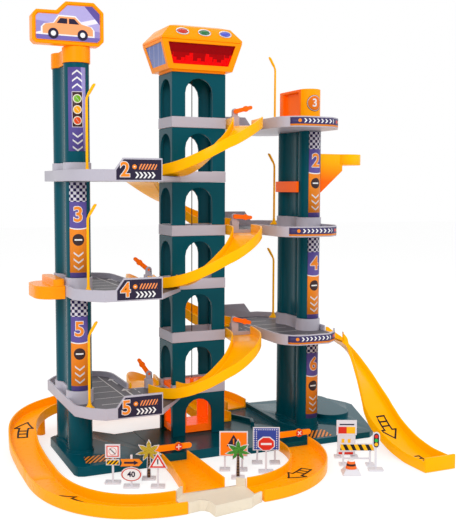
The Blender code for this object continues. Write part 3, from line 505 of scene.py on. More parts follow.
def numeral(name, text, height, finish, place, weight=0.02):
    """A number cut from thin sheet; place takes its width, height and depth in metres."""
    curve = bpy.data.curves.new(name, "FONT")
    curve.body = text
    curve.size = height
    curve.align_x = "CENTER"
    curve.align_y = "CENTER"
    curve.resolution_u = 6
    curve.offset = height * weight
    curve.extrude = 0.0001
    letter = bpy.data.objects.new(name + "_cut", curve)
    bpy.context.scene.collection.objects.link(letter)
    graph = bpy.context.evaluated_depsgraph_get()
    mesh = bpy.data.meshes.new_from_object(letter.evaluated_get(graph))
    bpy.data.objects.remove(letter)
    bm = bmesh.new()
    bm.from_mesh(mesh)
    bpy.data.meshes.remove(mesh)
    bmesh.ops.remove_doubles(bm, verts=bm.verts, dist=0.000005)
    bmesh.ops.triangulate(bm, faces=bm.faces)
    for cut in range(-12, 13):
        bmesh.ops.bisect_plane(bm, geom=bm.verts[:] + bm.edges[:] + bm.faces[:],
                               plane_co=(cut * 0.001, 0, 0), plane_no=(1, 0, 0))
    for vert in bm.verts:
        vert.co = place(vert.co.x, vert.co.y, vert.co.z + curve.extrude)
    bmesh.ops.recalc_face_normals(bm, faces=bm.faces)
    dressed(name, bm, finish)


def bordered_number(name, text, height, place):
    """An orange number on a wider white one."""
    numeral(name + "_edge", text, height, print_white, place, 0.05)
    numeral(name, text, height, print_orange,
            lambda x, y, z: place(x, y, z + NUMBER_STEP))


def printed_strip(name, columns, place, finish):
    """A thin bent print. place turns shares across and up into a point and its UV."""
    bm = bmesh.new()
    layer = bm.loops.layers.uv.new("print")
    bmesh.ops.create_grid(bm, x_segments=columns, y_segments=1, size=0.5)
    marks = {}
    for vert in bm.verts:
        vert.co, marks[vert] = place(vert.co.x + 0.5, vert.co.y + 0.5)
    for face in bm.faces:
        for loop in face.loops:
            loop[layer].uv = marks[loop.vert]
    thickened(dressed(name, bm, finish, smooth=38), STICKER)


def rim_band(name, line, low, high):
    """A band along a line of (x, y). Its map is in centimetres from its lower left corner."""
    lengths = [0.0]
    for a, b in zip(line, line[1:]):
        lengths.append(lengths[-1] + (Vector(b) - Vector(a)).length)

    def place(across, up):
        step = round(across * (len(line) - 1))
        rise = up * (high - low)
        return (*line[step], low + rise), (lengths[step] * 100, rise * 100)

    printed_strip(name, len(line) - 1, place, band_finish)


board_finish = board_print()
band_finish = band_print()
print_orange = Finish("printed_orange").gloss(PRINT_ORANGE, 0.32)
print_white = Finish("printed_white").gloss(WHITE, 0.32)
board_outline = [(-0.1365, 0.0016), (-0.0815, 0.0016), (-0.0815, 0.0252), (-0.1275, 0.0252),
                 (-0.1365, 0.0128)]
band_line = corner(0.118, -0.075, 0.03204, -136, -90, 8)
band_line += [(0.151, BOARD_FACE), (0.16703, -0.09404), (0.17560, -0.0803)]
number_x, number_z, number_size = BOARD_NUMBER
for deck in decks:
    if deck.side == "right":
        rim_band(f"right_deck_{deck.number}_rim_band", band_line, deck.low + BAND_LOW,
                 deck.low + BAND_HIGH)
        continue

    def on_board(x, y, z):
        return (number_x + x, BOARD_FACE - STICKER - z, deck.low + number_z + y)

    board = f"left_deck_{deck.number}_board"
    flat_sheet(board + "_print", board_outline, board_finish,
               Matrix.Translation((0, BOARD_FACE, deck.low)) @ UPRIGHT, STICKER)
    bordered_number(board + "_number", "542"[deck.number - 1], number_size, on_board)

# Column stickers: printed strips on the front lobe of each column. The top one on the left shows
# a set of signal lamps between chevrons, the others a checker, a number, a disc and chevrons.
LOBE_Y = -0.0292
LOBE_R = 0.0154
STICKER_HEIGHT = 0.1160
STICKER_NUMBER = 0.0400
PURPLE = srgb(96, 84, 156)
LILAC = srgb(158, 148, 206)


def lobe_place(x0, middle, radius):
    """Bends a flat sheet's width, height and depth round a column's front lobe."""
    def place(x, y, z):
        angle = math.radians(middle) + x / radius
        return (x0 + (radius + z) * math.cos(angle), LOBE_Y + (radius + z) * math.sin(angle), y)
    return place


def lobe_sticker(name, x0, middle, width, low, high, finish):
    """A strip bent round the lobe. Its map is in millimetres from its top middle."""
    bend = lobe_place(x0, middle, LOBE_R + 0.00006)

    def place(across, up):
        x = (across - 0.5) * width
        y = low + up * (high - low)
        return bend(x, y, 0), (x * 1000, (y - high) * 1000)

    printed_strip(name, 16, place, finish)


def signal_print():
    """Purple and lilac strip with three lamps in a dark case between chevrons."""
    finish = Finish("signal_sticker")
    x, y, _ = finish.where("UV")
    marks = chevrons(x, y, 0.5, (-4.0, -12.0, -20.0), 6.0, 1.1, 0.75)
    marks = marks | chevrons(x, y, 0.5, (-82.5, -90.5, -98.5), 6.0, 1.1, -0.75)
    case = x.near(0.5, 6.6) & y.between(-71.0, -28.5)
    inside = x.near(0.5, 5.9) & y.between(-70.3, -29.2)
    colour = finish.layers(PURPLE, ((x + y * 0.03) > 5.0, LILAC), (marks, WHITE),
                           (case, srgb(215, 205, 215)), (inside, srgb(62, 40, 40)))
    for height, paint in ((-37.0, srgb(110, 170, 30)), (-50.0, srgb(240, 165, 20)),
                          (-63.0, srgb(225, 75, 20))):
        away = squared(x, y, 0.5, height)
        shine = (abs(x - 0.5 + (y - height) * 0.8) < 0.45) & (away < 9.0)
        colour = finish.layers(colour, (away < 27.0, srgb(235, 225, 205)), (away < 17.5, paint),
                               (shine * 0.4, WHITE))
    return finish.gloss(colour, 0.25)


def storey_print():
    """Checker, purple field, orange field with a disc and chevrons, purple foot."""
    finish = Finish("storey_sticker")
    x, y, _ = finish.where("UV")
    pair = 7.4
    checker = abs((((x + 50.0) / pair).part() < 0.5) - (((y + 500.0) / pair).part() < 0.5))
    divider = y + 57.0 - x * x * 0.012
    dot = squared(x, y, 0.0, -70.0) < 52.0
    bar = x.near(0.0, 4.6) & y.near(-70.0, 0.9)
    marks = bar | chevrons(x, y, 0.0, (-90.0, -98.0, -106.0), 6.0, 1.1, -0.75)
    colour = finish.layers(
        srgb(52, 44, 84), (checker, srgb(225, 222, 232)), (y < -24.0, PURPLE),
        (divider < 0.0, PRINT_ORANGE), (abs(divider) < 0.7, srgb(240, 235, 230)),
        (dot, srgb(62, 46, 48)), (marks, WHITE), (y < -110.0, PURPLE))
    return finish.gloss(colour, 0.25)


storey_sticker = storey_print()
lobe_sticker("left_signal_sticker", -COLUMN_X, -103, 0.0226, 0.3843, 0.4836, signal_print())
for node, x0, middle, width, text in (("left_column_2", -COLUMN_X, -103, 0.0224, "5"),
                                      ("left_column_3", -COLUMN_X, -103, 0.0224, "3"),
                                      ("right_column_1", COLUMN_X, -84, 0.0208, "6"),
                                      ("right_column_2", COLUMN_X, -84, 0.0208, "4"),
                                      ("right_column_3", COLUMN_X, -84, 0.0208, "2")):
    top_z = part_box(node)[1][2] - 0.0004
    lobe_sticker(node + "_sticker", x0, middle, width, top_z - STICKER_HEIGHT, top_z,
                 storey_sticker)
    bend = lobe_place(x0, middle, LOBE_R + 0.00024)
    bordered_number(node + "_number", text, 0.0250,
                    lambda x, y, z: bend(x, y + top_z - STICKER_NUMBER, z))

# Ramps: yellow half-turn troughs, each from the open mouth of one deck down to the floor of the
# deck one storey lower on the other side. The last one ends on the base.
YELLOW = (255, 178, 0)
RAMP_A = 0.081
RAMP_B = 0.1447
RAMP_WIDTH = 0.040
RAMP_X = 0.004
RAMP_Y = 0.022
RAMP_POWER = 2.2
RAMP_END_Y = 0.030
FALL_START = 35.0
FALL_SPAN = 120.0
MOUTH_Y = 0.012
WALL_HEIGHT = 0.0135
WALL_THICK = 0.0022

yellow = moulded("yellow_plastic", YELLOW, 0.24, level=0.08, glow=0.12)


def trough(node, sections, finish):
    """A U-shaped trough through sections of (left point, right point, underside height)."""
    bm = bmesh.new()
    count = len(sections) - 1
    bmesh.ops.create_grid(bm, x_segments=count, y_segments=1, size=0.5)
    rails = [e for e in bm.edges if abs(e.verts[0].co.y - e.verts[1].co.y) < 0.5]
    for vert in bm.verts:
        left, right, low = sections[round((vert.co.x + 0.5) * count)]
        end = left if vert.co.y > 0 else right
        vert.co = (end[0], end[1], low)
    bmesh.ops.recalc_face_normals(bm, faces=bm.faces)
    bm.faces.ensure_lookup_table()
    if bm.faces[0].normal.z > 0:
        bmesh.ops.reverse_faces(bm, faces=bm.faces)
    risen = bmesh.ops.extrude_edge_only(bm, edges=rails)["geom"]
    bmesh.ops.translate(bm, vec=(0, 0, WALL_HEIGHT),
                        verts=[g for g in risen if isinstance(g, bmesh.types.BMVert)])
    piece = dressed(node + "_trough", bm, finish, smooth=50, replaced=(node,))
    thickened(piece, WALL_THICK, -1.0).use_even_offset = True
    edged(piece, 0.0006, 50, False)


def ramp_sections(drop, low, turn, steps=64):
    """Sections of a ramp that falls by drop from the height low."""
    def curve(a, b, share):
        power = RAMP_POWER / 2
        first = math.degrees(math.asin(((RAMP_Y + MOUTH_Y + GAP) / b) ** power))
        last = 180 - math.degrees(math.asin(((RAMP_Y + RAMP_END_Y) / b) ** power))
        angle = math.radians(first + (last - first) * share)
        cosine = math.cos(angle)
        x = RAMP_X + a * math.copysign(abs(cosine) ** (1 / power), cosine)
        y = RAMP_Y - b * math.sin(angle) ** (1 / power)
        return turn @ Vector((x, y, 0)), math.degrees(angle)

    rows = []
    for i in range(steps + 1):
        outer, angle = curve(RAMP_A, RAMP_B, i / steps)
        inner, _ = curve(RAMP_A - RAMP_WIDTH, RAMP_B - RAMP_WIDTH, i / steps)
        fall = min(max((angle - FALL_START) / FALL_SPAN, 0.0), 1.0)
        rows.append((outer, inner, low - drop * fall * fall * (3 - 2 * fall)))
    return rows


for index in range(6, 0, -1):
    side, turn = ("back", math.pi) if index % 2 else ("front", 0)
    drop = STEP - DECK_FLOOR - GAP if index > 1 else ring_bottom(1) - SIDE_PLATE_TOP - GAP
    sections = ramp_sections(drop, ring_bottom(index), Matrix.Rotation(turn, 4, "Z"))
    trough(f"{side}_ramp_{(6 - index) // 2 + 1}", sections, yellow)

# Tracks on the floor: orange troughs that push together round the base, with the arched track
# behind the tower. Black outline arrows are printed on their floors.
TRACK_ORANGE = (255, 162, 0)
RIGHT_FRONT = -0.094
MIDDLE_FRONT = -0.086
CURVE_X, CURVE_A, CURVE_B = -0.013, 0.119, 0.1325
CURVE_WIDTH = 0.046
CURVE_LEAD = 0.002
LOOP_X, LOOP_Y, LOOP_A, LOOP_B = -0.107, -0.090, 0.117, 0.1415
LOOP_POWER = 2.3
LOOP_WIDTH, LOOP_TAPER = 0.038, 0.0025
LEFT_X, LEFT_Y = -0.224, -0.088
BRIDGE_WIDTH = 0.0355
PIER_FOOT, PIER_HEAD = 0.0060, 0.0052

track_orange = moulded("track_plastic", TRACK_ORANGE, 0.28, grain=0.008, glow=0.14)


def normals_of(points):
    """Unit vectors on the left of an open line, lengthened at its corners."""
    rows = []
    for i, point in enumerate(points):
        here = Vector(point[:2])
        first = here - Vector(points[max(i - 1, 0)][:2])
        second = Vector(points[min(i + 1, len(points) - 1)][:2]) - here
        first = first.normalized() if first.length > 0 else second.normalized()
        second = second.normalized() if second.length > 0 else first
        mean = (first + second).normalized()
        rows.append(Vector((-mean.y, mean.x)) / max(mean.dot(first), 0.5))
    return rows


def track_sections(line, widths):
    """Sections of a trough along a centre line of (x, y, underside height)."""
    rows = []
    for point, normal, width in zip(line, normals_of(line), widths):
        middle = Vector(point[:2])
        rows.append((middle + normal * width / 2, middle - normal * width / 2, point[2]))
    return rows


def smooth_line(points, steps):
    """A smooth curve through points, with some steps in each span."""
    padded = [points[0]] + list(points) + [points[-1]]
    rows = []
    for i in range(1, len(padded) - 2):
        p0, p1, p2, p3 = (Vector(p) for p in padded[i - 1:i + 3])
        for s in range(steps):
            t = s / steps
            rows.append(0.5 * (2 * p1 + (p2 - p0) * t + (2 * p0 - 5 * p1 + 4 * p2 - p3) * t * t
                               + (3 * p1 - p0 - 3 * p2 + p3) * t ** 3))
    rows.append(Vector(points[-1]))
    return [Vector((p.x, p.y, max(p.z, 0.0))) for p in rows]


def track(node, line, widths):
    """An orange trough along a centre line, as wide as the widths say."""
    trough(node, track_sections(line, widths), track_orange)


start = MIDDLE_FRONT - GAP
straight = [(-0.0575, start, 0), (-0.0575, start - 0.004, 0), (-0.0585, -0.130, 0),
            (-0.0610, -0.165, 0), (-0.0632, -0.1930, 0), (-0.0632, -0.1965, 0)]
track("straight_track", straight, [0.036, 0.036, 0.040, 0.045, 0.050, 0.050])

curve_start = RIGHT_FRONT - GAP
bend_line = [(0.106, curve_start, 0)]
for i in range(49):
    a = math.radians(90 * i / 48)
    bend_line.append((CURVE_X + CURVE_A * math.cos(a),
                      curve_start - CURVE_LEAD - CURVE_B * math.sin(a), 0))
bend_line.append((-0.0155, bend_line[-1][1], 0))
track("curve_track", bend_line, [CURVE_WIDTH] * len(bend_line))

loop_line = [(-0.1045, -0.2315, 0)]
for i in range(43):
    a = math.radians(90 * i / 42)
    loop_line.append((LOOP_X - LOOP_A * math.sin(a) ** (2 / LOOP_POWER),
                      LOOP_Y - LOOP_B * math.cos(a) ** (2 / LOOP_POWER), 0))
loop_line.append((LEFT_X, LEFT_Y, 0))
count = len(loop_line)
track("loop_track", loop_line, [LOOP_WIDTH - LOOP_TAPER * i / count for i in range(count)])

route = [(LEFT_X, -0.070, 0.0), (LEFT_X, -0.030, 0.001), (LEFT_X, 0.015, 0.009),
         (-0.214, 0.062, 0.021), (-0.184, 0.101, 0.028), (-0.130, 0.128, 0.031),
         (-0.060, 0.146, 0.030), (0.010, 0.151, 0.0265), (0.066, 0.144, 0.020),
         (0.098, 0.121, 0.0125), (0.107, 0.086, SIDE_PLATE_TOP + GAP)]
bridge_line = [Vector((LEFT_X, LEFT_Y + GAP, 0.0))] + smooth_line(route, 8)
track("bridge_track", bridge_line, [BRIDGE_WIDTH] * len(bridge_line))
bm = bmesh.new()
for x, y, height in ((-0.184, 0.101, 0.0285), (-0.060, 0.146, 0.0305), (0.066, 0.144, 0.0205)):
    bmesh.ops.create_cone(bm, cap_ends=True, segments=24, radius1=PIER_FOOT,
                          radius2=PIER_HEAD, depth=height,
                          matrix=Matrix.Translation((x, y, height / 2)))
edged(dressed("bridge_track_piers", bm, track_orange, smooth=38), 0.0006)

ink = Finish("black_ink").gloss(srgb(28, 22, 20), 0.45)
ARROW = [(-0.022, -0.0065), (0.004, -0.0065), (0.004, -0.0130), (0.023, 0.0), (0.004, 0.0130),
         (0.004, 0.0065), (-0.022, 0.0065)]
ARROW_BARS = (-0.0125, -0.0040)
ARROW_LINE = 0.0024
ARROW_INK = 0.00012


def on_track(line, spot):
    """Lays flat points on a track's floor, from the place on its line nearest to a spot."""
    normals = normals_of(line)
    lengths = [0.0]
    for p, q in zip(line, line[1:]):
        lengths.append(lengths[-1] + (Vector(q) - Vector(p)).length)
    start = min(range(len(line)), key=lambda i: (Vector(line[i][:2]) - Vector(spot)).length)

    def place(x, y):
        at = lengths[start] + x
        i = max(k for k in range(len(line) - 1) if lengths[k] <= at or k == 0)
        share = (at - lengths[i]) / (lengths[i + 1] - lengths[i])
        p = Vector(line[i])
        q = Vector(line[i + 1])
        here = p + (q - p) * share
        normal = normals[i] + (normals[i + 1] - normals[i]) * share
        slope = (q.z - p.z) / (q.xy - p.xy).length
        rise = (WALL_THICK + ARROW_INK) * math.hypot(1, slope)
        return (here.x + normal.x * y, here.y + normal.y * y, here.z + rise)
    return place


def outline_arrow(name, line, spot, size=1.0, across=0.0, turned=0.0):
    """A printed arrow outline with two cross bars that follows a track's floor."""
    place = on_track(line, spot)
    spin = Matrix.Rotation(math.radians(turned), 2)
    ends = list(zip(ARROW, ARROW[1:] + ARROW[:1]))
    ends += [((x, ARROW[0][1]), (x, ARROW[-1][1])) for x in ARROW_BARS]
    bm = bmesh.new()
    for first, second in ends:
        a = spin @ Vector(first) * size
        b = spin @ Vector(second) * size
        pieces = max(1, round((b - a).length / 0.004))
        along = (b - a).normalized() * ARROW_LINE / 2
        side = Vector((-along.y, along.x))
        rows = [a - along + (b - a + along * 2) * k / pieces for k in range(pieces + 1)]
        for p, q in zip(rows, rows[1:]):
            bm.faces.new([bm.verts.new(place(c.x, c.y + across))
                          for c in (p - side, q - side, q + side, p + side)])
    face_up(bm)
    thickened(dressed(name, bm, ink), ARROW_INK)


outline_arrow("loop_arrow", loop_line, (-0.205, -0.166), 0.9)
outline_arrow("bridge_arrow", bridge_line, (-0.216, 0.056), 0.9)
outline_arrow("curve_arrow", bend_line, (0.064, -0.197), 0.95, -0.007, -14)

# Junction: a cream plate where the two curved tracks and the straight one meet, with low walls
# along its front. It is a duller plastic than the rest.
cream = moulded("cream_plastic", (236, 224, 202), 0.42, mottle=0.35, grain=0.05)
rounded_copy("track_junction", cream, edge=0.0003, angle=60, joined=False)

# Slide: a yellow trough from the corner of the lowest right deck, a quarter turn and then down to
# the floor, where a low wall stops the cars.
SLIDE_WIDTH = 0.045
SLIDE_TURN = 0.045
SLIDE_END_Y = -0.243
SLIDE_DROP = 0.0018
STOP_THICK = 0.0032
STOP_HEIGHT = 0.0180
EXIT_Y = -0.0475
slide_top = ring_bottom(2) - GAP - SLIDE_DROP
slide_x = DECK_END + GAP + 0.001
first_y = EXIT_Y - SLIDE_WIDTH / 2
turn_y = first_y - SLIDE_TURN
route = [(slide_x, first_y, slide_top)]
heights = (0.123, 0.102, 0.077, 0.052, 0.034)
for i, z in enumerate(heights, 1):
    a = math.radians(90 - 90 * i / len(heights))
    route.append((slide_x + SLIDE_TURN * math.cos(a), turn_y + SLIDE_TURN * math.sin(a), z))
chute_x = slide_x + SLIDE_TURN
route += [(chute_x, turn_y - 0.018, 0.0210), (chute_x, turn_y - 0.050, 0.0075),
          (chute_x, turn_y - 0.080, 0.0012), (chute_x, turn_y - 0.098, 0.0),
          (chute_x, SLIDE_END_Y, 0.0)]
slide_line = [Vector((DECK_END + GAP, first_y, slide_top))] + smooth_line(route, 8)
trough("exit_slide", track_sections(slide_line, [SLIDE_WIDTH] * len(slide_line)), yellow)
bm = bmesh.new()
bmesh.ops.create_cube(bm, size=1.0,
                      matrix=Matrix.Translation((chute_x, SLIDE_END_Y - 0.0006, STOP_HEIGHT / 2))
                      @ Matrix.Diagonal((SLIDE_WIDTH - 0.0002, STOP_THICK, STOP_HEIGHT, 1)))
bmesh.ops.bevel(bm, geom=bm.edges[:], offset=0.0007, segments=2, affect="EDGES", profile=0.5,
                material=-1)
dressed("exit_slide_stop", bm, yellow, smooth=38)
outline_arrow("slide_arrow", slide_line, (chute_x, -0.1330), 0.9)
outline_arrow("catcher_arrow", slide_line, (chute_x, -0.2130), 0.8)

# Lift car: a red-orange box with arched sides that hangs on a cord in the tower. The cord runs
# up to the drum in the cab.
LIFT_TRAVEL = 0.4
CORD_R = 0.0006
# The car's strong glow is painted light, which brightens it in the shade inside the tower.
red_orange = moulded("lift_plastic", (255, 104, 10), 0.27, glow=0.28)
rounded_copy("lift_car", red_orange, body="lift")
cord_finish = Finish("cord_fibre")
x, _, z = cord_finish.where()
twist = (z * 900.0 + x * 600.0).part()
fibre = cord_finish.gloss(cord_finish.blend(twist, srgb(42, 40, 40), srgb(84, 80, 78)), 0.8,
                          grain=0.3)
low, high = (corner_point[2] for corner_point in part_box("lift_cord"))
bm = bmesh.new()
bmesh.ops.create_cone(bm, cap_ends=True, segments=12, radius1=CORD_R, radius2=CORD_R,
                      depth=high - low, matrix=Matrix.Translation((0, 0, (high + low) / 2)))
rope = dressed("lift_cord_fibre", bm, fibre, smooth=38, replaced=("lift_cord",))
1 - LIFT_TRAVEL / (high - low)
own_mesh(rope)

# Winch: an orange drum and crank on a shaft at the back of the cab, which winds the lift's cord.
# It is one moulding.
cab_orange = moulded("cab_plastic", (255, 148, 0), 0.24, level=0.1, glow=0.12)
rounded_copy("winch_drum", cab_orange, body="winch", edge=0.0004)

# Control cab: an orange frame that flares upwards with windows on all sides and a hipped roof
# with three coloured jewels in chrome rims. The front pane is red and glossy.
CAB_BASE = (0.0443, 0.032, 0.491)
CAB_TOP = (0.0555, 0.038, 0.527)
SILL = 0.4975
HEAD = 0.5235
PANE = 0.0016
ROOF_FRONT = math.atan2(0.545 - 0.5303, 0.038 - 0.030)
JEWEL_Y, JEWEL_Z = -0.0341, 0.5376
JEWEL = (0.0070, 0.0036, 0.0024)
JEWEL_RIM = (0.0090, 0.0054, 1)
JEWEL_RIM_WIDTH = 0.0017
CROWN_Z = 0.5487
rounded_copy("cab_body", cab_orange, edge=0.0006)
rounded_copy("cab_roof", cab_orange, edge=0.0009)


def pane_print():
    """Deep red sheet, brighter in blocks near its foot as if lit from inside."""
    finish = Finish("red_pane_print")
    x, _, z = finish.where()
    rise = (z - 0.4935) / 0.030
    blocks = ((x * 90.0).part() > 0.55) * 0.12 + ((x * 37.0 + 0.4).part() > 0.6) * 0.20
    colour = finish.layers(srgb(165, 0, 4), ((rise < 0.30 + blocks) * 0.75, srgb(255, 4, 4)),
                           ((rise > 0.62) * 0.5, srgb(120, 0, 6)),
                           ((finish.noise(700.0, 3.0) > 0.62) * 0.15, srgb(90, 0, 4)))
    return finish.gloss(colour, 0.1, grain=0.01, level=0.06)


def side_print():
    """Pale blue pane, darker towards its head, with slanting streaks of painted reflection."""
    finish = Finish("side_pane_print")
    _, y, z = finish.where()
    # Slanting pale streaks of painted reflection.
    painted_reflection = (((y + z * 0.8) * 60.0).part() < 0.18) * 0.35
    colour = finish.layers(srgb(122, 142, 206), ((z - SILL) / (HEAD - SILL), srgb(92, 116, 186)),
                           (painted_reflection, srgb(196, 202, 236)))
    return finish.gloss(colour, 0.15, grain=0.01, level=0.2)


rounded_copy("cab_glazing", pane_print(), edge=0.0002)
side_pane = side_print()
for sign, name in ((-1, "left"), (1, "right")):
    rows = []
    for z in (SILL + 0.0002, HEAD - 0.0002):
        share = (z - CAB_BASE[2]) / (CAB_TOP[2] - CAB_BASE[2])
        rise = (z - SILL) / (CAB_TOP[2] - CAB_BASE[2])
        x = sign * (CAB_BASE[0] + (CAB_TOP[0] - CAB_BASE[0]) * share - 0.0012)
        half_y = CAB_BASE[1] - 0.0064 + (CAB_TOP[1] - CAB_BASE[1]) * rise
        rows.append([(x, -sign * half_y, z), (x, sign * half_y, z)])
    bm = bmesh.new()
    bm.faces.new([bm.verts.new(c) for c in rows[0] + rows[1][::-1]])
    bmesh.ops.subdivide_edges(bm, edges=bm.edges[:], cuts=3, use_grid_fill=True)
    thickened(dressed(f"cab_{name}_pane", bm, side_pane), PANE, -1.0)

chrome = Finish("chrome_rim")
chrome.shader.inputs["Metallic"].default_value = 1.0
chrome_rim = chrome.gloss(srgb(205, 205, 208), 0.14, level=0.5, scuff=0.1)
for name, x, paint in (("red", -0.0265, srgb(200, 30, 10)), ("green", 0.0035, srgb(10, 110, 50)),
                       ("blue", 0.0325, srgb(70, 80, 200))):
    tip = Matrix.Translation((x, JEWEL_Y, JEWEL_Z)) @ Matrix.Rotation(ROOF_FRONT, 4, "X")
    bm = bmesh.new()
    bmesh.ops.create_circle(bm, cap_ends=True, segments=40, radius=1.0)
    bmesh.ops.scale(bm, vec=JEWEL_RIM, verts=bm.verts)
    bmesh.ops.inset_region(bm, faces=bm.faces[:], thickness=JEWEL_RIM_WIDTH, use_boundary=True)
    bmesh.ops.delete(bm, geom=[f for f in bm.faces if len(f.verts) == 40], context="FACES_ONLY")
    face_up(bm)
    bm.transform(tip)
    rim = dressed(f"cab_jewel_{name}_rim", bm, chrome_rim, smooth=38)
    thickened(rim, 0.0011)
    edged(rim, 0.0004)
    bm = bmesh.new()
    bmesh.ops.create_uvsphere(bm, u_segments=32, v_segments=16, radius=1.0)
    bmesh.ops.scale(bm, vec=JEWEL, verts=bm.verts)
    bm.transform(tip)
    gem = Finish(f"jewel_{name}").gloss(paint, 0.08, grain=0.0, level=0.6)
    dressed(f"cab_jewel_{name}", bm, gem, smooth=80)

bm = bmesh.new()
bmesh.ops.create_cone(bm, cap_ends=True, segments=48, radius1=0.0130, radius2=0.0115,
                      depth=0.0016, matrix=Matrix.Translation((0.002, 0, CROWN_Z))
                      @ Matrix.Diagonal((1.5, 1.0, 1, 1)))
edged(dressed("cab_roof_crown", bm, cab_orange, smooth=38), 0.0005)

# Sign board: an orange frame with a printed face, on an orange cap over the left column. Its
# print is a plain car on lilac bands, in layers of thin sheet.
SIGN_FACE = -0.0448
rounded_copy("left_column_cap", cab_orange, edge=0.0010)
rounded_copy("sign_board", cab_orange, edge=0.0012)


def disc(x, y, radius):
    return corner(x, y, radius, 0, 352.5, 47)


def resized(outline, wide, high, middle):
    """An outline made wider, and higher about a middle height."""
    return [(x * wide, (y - middle) * high + middle) for x, y in outline]


def sign_print():
    """Lilac field with a pale ribbon, a purple corner and a darker foot; in cm."""
    finish = Finish("sign_face_print")
    x, y, _ = finish.where("UV")
    upper = (y - 53.0 + (x + 17.0) * 0.12) > 0.0
    ribbon = abs((y - 52.9) - (x + 17.5) * 0.28) < 0.28
    slope = ((x + 14.2) + (y - 53.0) * 0.9) > 0.9
    colour = finish.layers(srgb(150, 138, 200), (upper, srgb(178, 168, 220)),
                           (ribbon, srgb(236, 232, 246)), (slope, srgb(98, 84, 158)),
                           (y < 51.9, srgb(118, 104, 178)))
    return finish.gloss(colour, 0.26)


face_outline = [(-0.2125, 0.5130), (-0.1395, 0.5130), (-0.1363, 0.5163), (-0.1363, 0.5470),
                (-0.1458, 0.5557), (-0.1764, 0.5547), (-0.1874, 0.5438), (-0.2114, 0.5433),
                (-0.2137, 0.5400), (-0.2137, 0.5148)]
flat_sheet("sign_face", face_outline, sign_print(),
           Matrix.Translation((0, SIGN_FACE, 0)) @ UPRIGHT)
car_body = [(-0.030, 0.0), (-0.030, 0.0075), (-0.0265, 0.0110), (-0.0165, 0.0125),
            (-0.0105, 0.0205), (0.0085, 0.0205), (0.0165, 0.0128), (0.0270, 0.0105),
            (0.0300, 0.0070), (0.0300, 0.0)]
front_window = [(-0.0135, 0.0125), (-0.0090, 0.0185), (-0.0010, 0.0185), (-0.0010, 0.0125)]
rear_window = [(0.0012, 0.0125), (0.0012, 0.0185), (0.0075, 0.0185), (0.0135, 0.0125)]
peach = Finish("printed_peach").gloss(srgb(250, 165, 110))
dark_print = Finish("printed_dark").gloss(DARK)
for part, shape, finish, layer in (
        ("edge", resized(car_body, 1.07, 1.16, 0.010), print_white, 1),
        ("", car_body, peach, 2),
        ("window_1", front_window, dark_print, 3),
        ("window_2", rear_window, dark_print, 3),
        ("tyre_1", disc(-0.0175, 0.0005, 0.0062), dark_print, 3),
        ("hub_1", disc(-0.0175, 0.0005, 0.0030), print_white, 4),
        ("tyre_2", disc(0.0175, 0.0005, 0.0062), dark_print, 3),
        ("hub_2", disc(0.0175, 0.0005, 0.0030), print_white, 4)):
    at = Matrix.Translation((-0.1755, SIGN_FACE - PRINT * layer, 0.5205)) @ UPRIGHT
    flat_sheet("sign_car_" + part if part else "sign_car", shape, finish, at)

# Booth: an orange shelter with a round end on the top right deck. A number disc of three thin
# layers is stuck on its end.
BOOTH_Y = -0.0268
BOOTH_R = 0.0152
BADGE_Z = 0.4555
booth_finish = Finish("booth_plastic")
x, y, _ = booth_finish.where()
# The left face and the recess, on the shaded side, are painted a deeper red-orange than the round
# end: painted shade.
booth_shade_painted_colour = booth_finish.blend((x < COLUMN_X - 0.0040) & (y > -0.0300), srgb(255, 158, 2),
                                  srgb(255, 104, 4))
booth_orange = booth_finish.gloss(booth_shade_painted_colour, 0.26, level=0.08, glow=0.18)
rounded_copy("roof_booth", booth_orange, edge=0.0009)


def on_booth(x, y, z):
    angle = math.radians(-90) + x / BOOTH_R
    return (COLUMN_X + (BOOTH_R + z) * math.cos(angle), BOOTH_Y + (BOOTH_R + z) * math.sin(angle),
            BADGE_Z + y)


for name, radius, paint, depth in (("booth_badge_edge", 0.0112, srgb(120, 70, 50), 0.00005),
                                   ("booth_badge_ring", 0.0104, WHITE, 0.00015),
                                   ("booth_badge", 0.0097, srgb(240, 120, 20), 0.00025)):
    bm = bmesh.new()
    bmesh.ops.create_grid(bm, x_segments=12, y_segments=12, size=1.0)
    for vert in bm.verts:
        x, y = vert.co.xy
        shrink = radius * max(abs(x), abs(y)) / max(math.hypot(x, y), 0.000001)
        vert.co = on_booth(x * shrink, y * shrink, depth)
    badge = dressed(name, bm, Finish(name + "_print").gloss(paint), smooth=60)
    thickened(badge, 0.0001)
numeral("booth_number", "3", 0.0150, print_white,
        lambda x, y, z: on_booth(x, y, z + 0.00035))

# Landing pad: a yellow pad on two ribs that clips round the right column, and the orange shelf
# on the end of the middle left deck.
pad_finish = Finish("pad_plastic")
_, _, z = pad_finish.where()
# The pad is yellow at its top and turns red-orange towards the ribs and clip below: painted shade.
pad_shade_painted_colour = pad_finish.blend((z - 0.350) / 0.032, srgb(255, 100, 5), srgb(255, 180, 0))
pad_yellow = pad_finish.gloss(pad_shade_painted_colour, 0.26, level=0.08, glow=0.18)
rounded_copy("helipad", pad_yellow, edge=0.0008)
shelf_orange = moulded("shelf_plastic", (255, 150, 4), 0.27, glow=0.08)
rounded_copy("deck_shelf", shelf_orange, edge=0.0009)

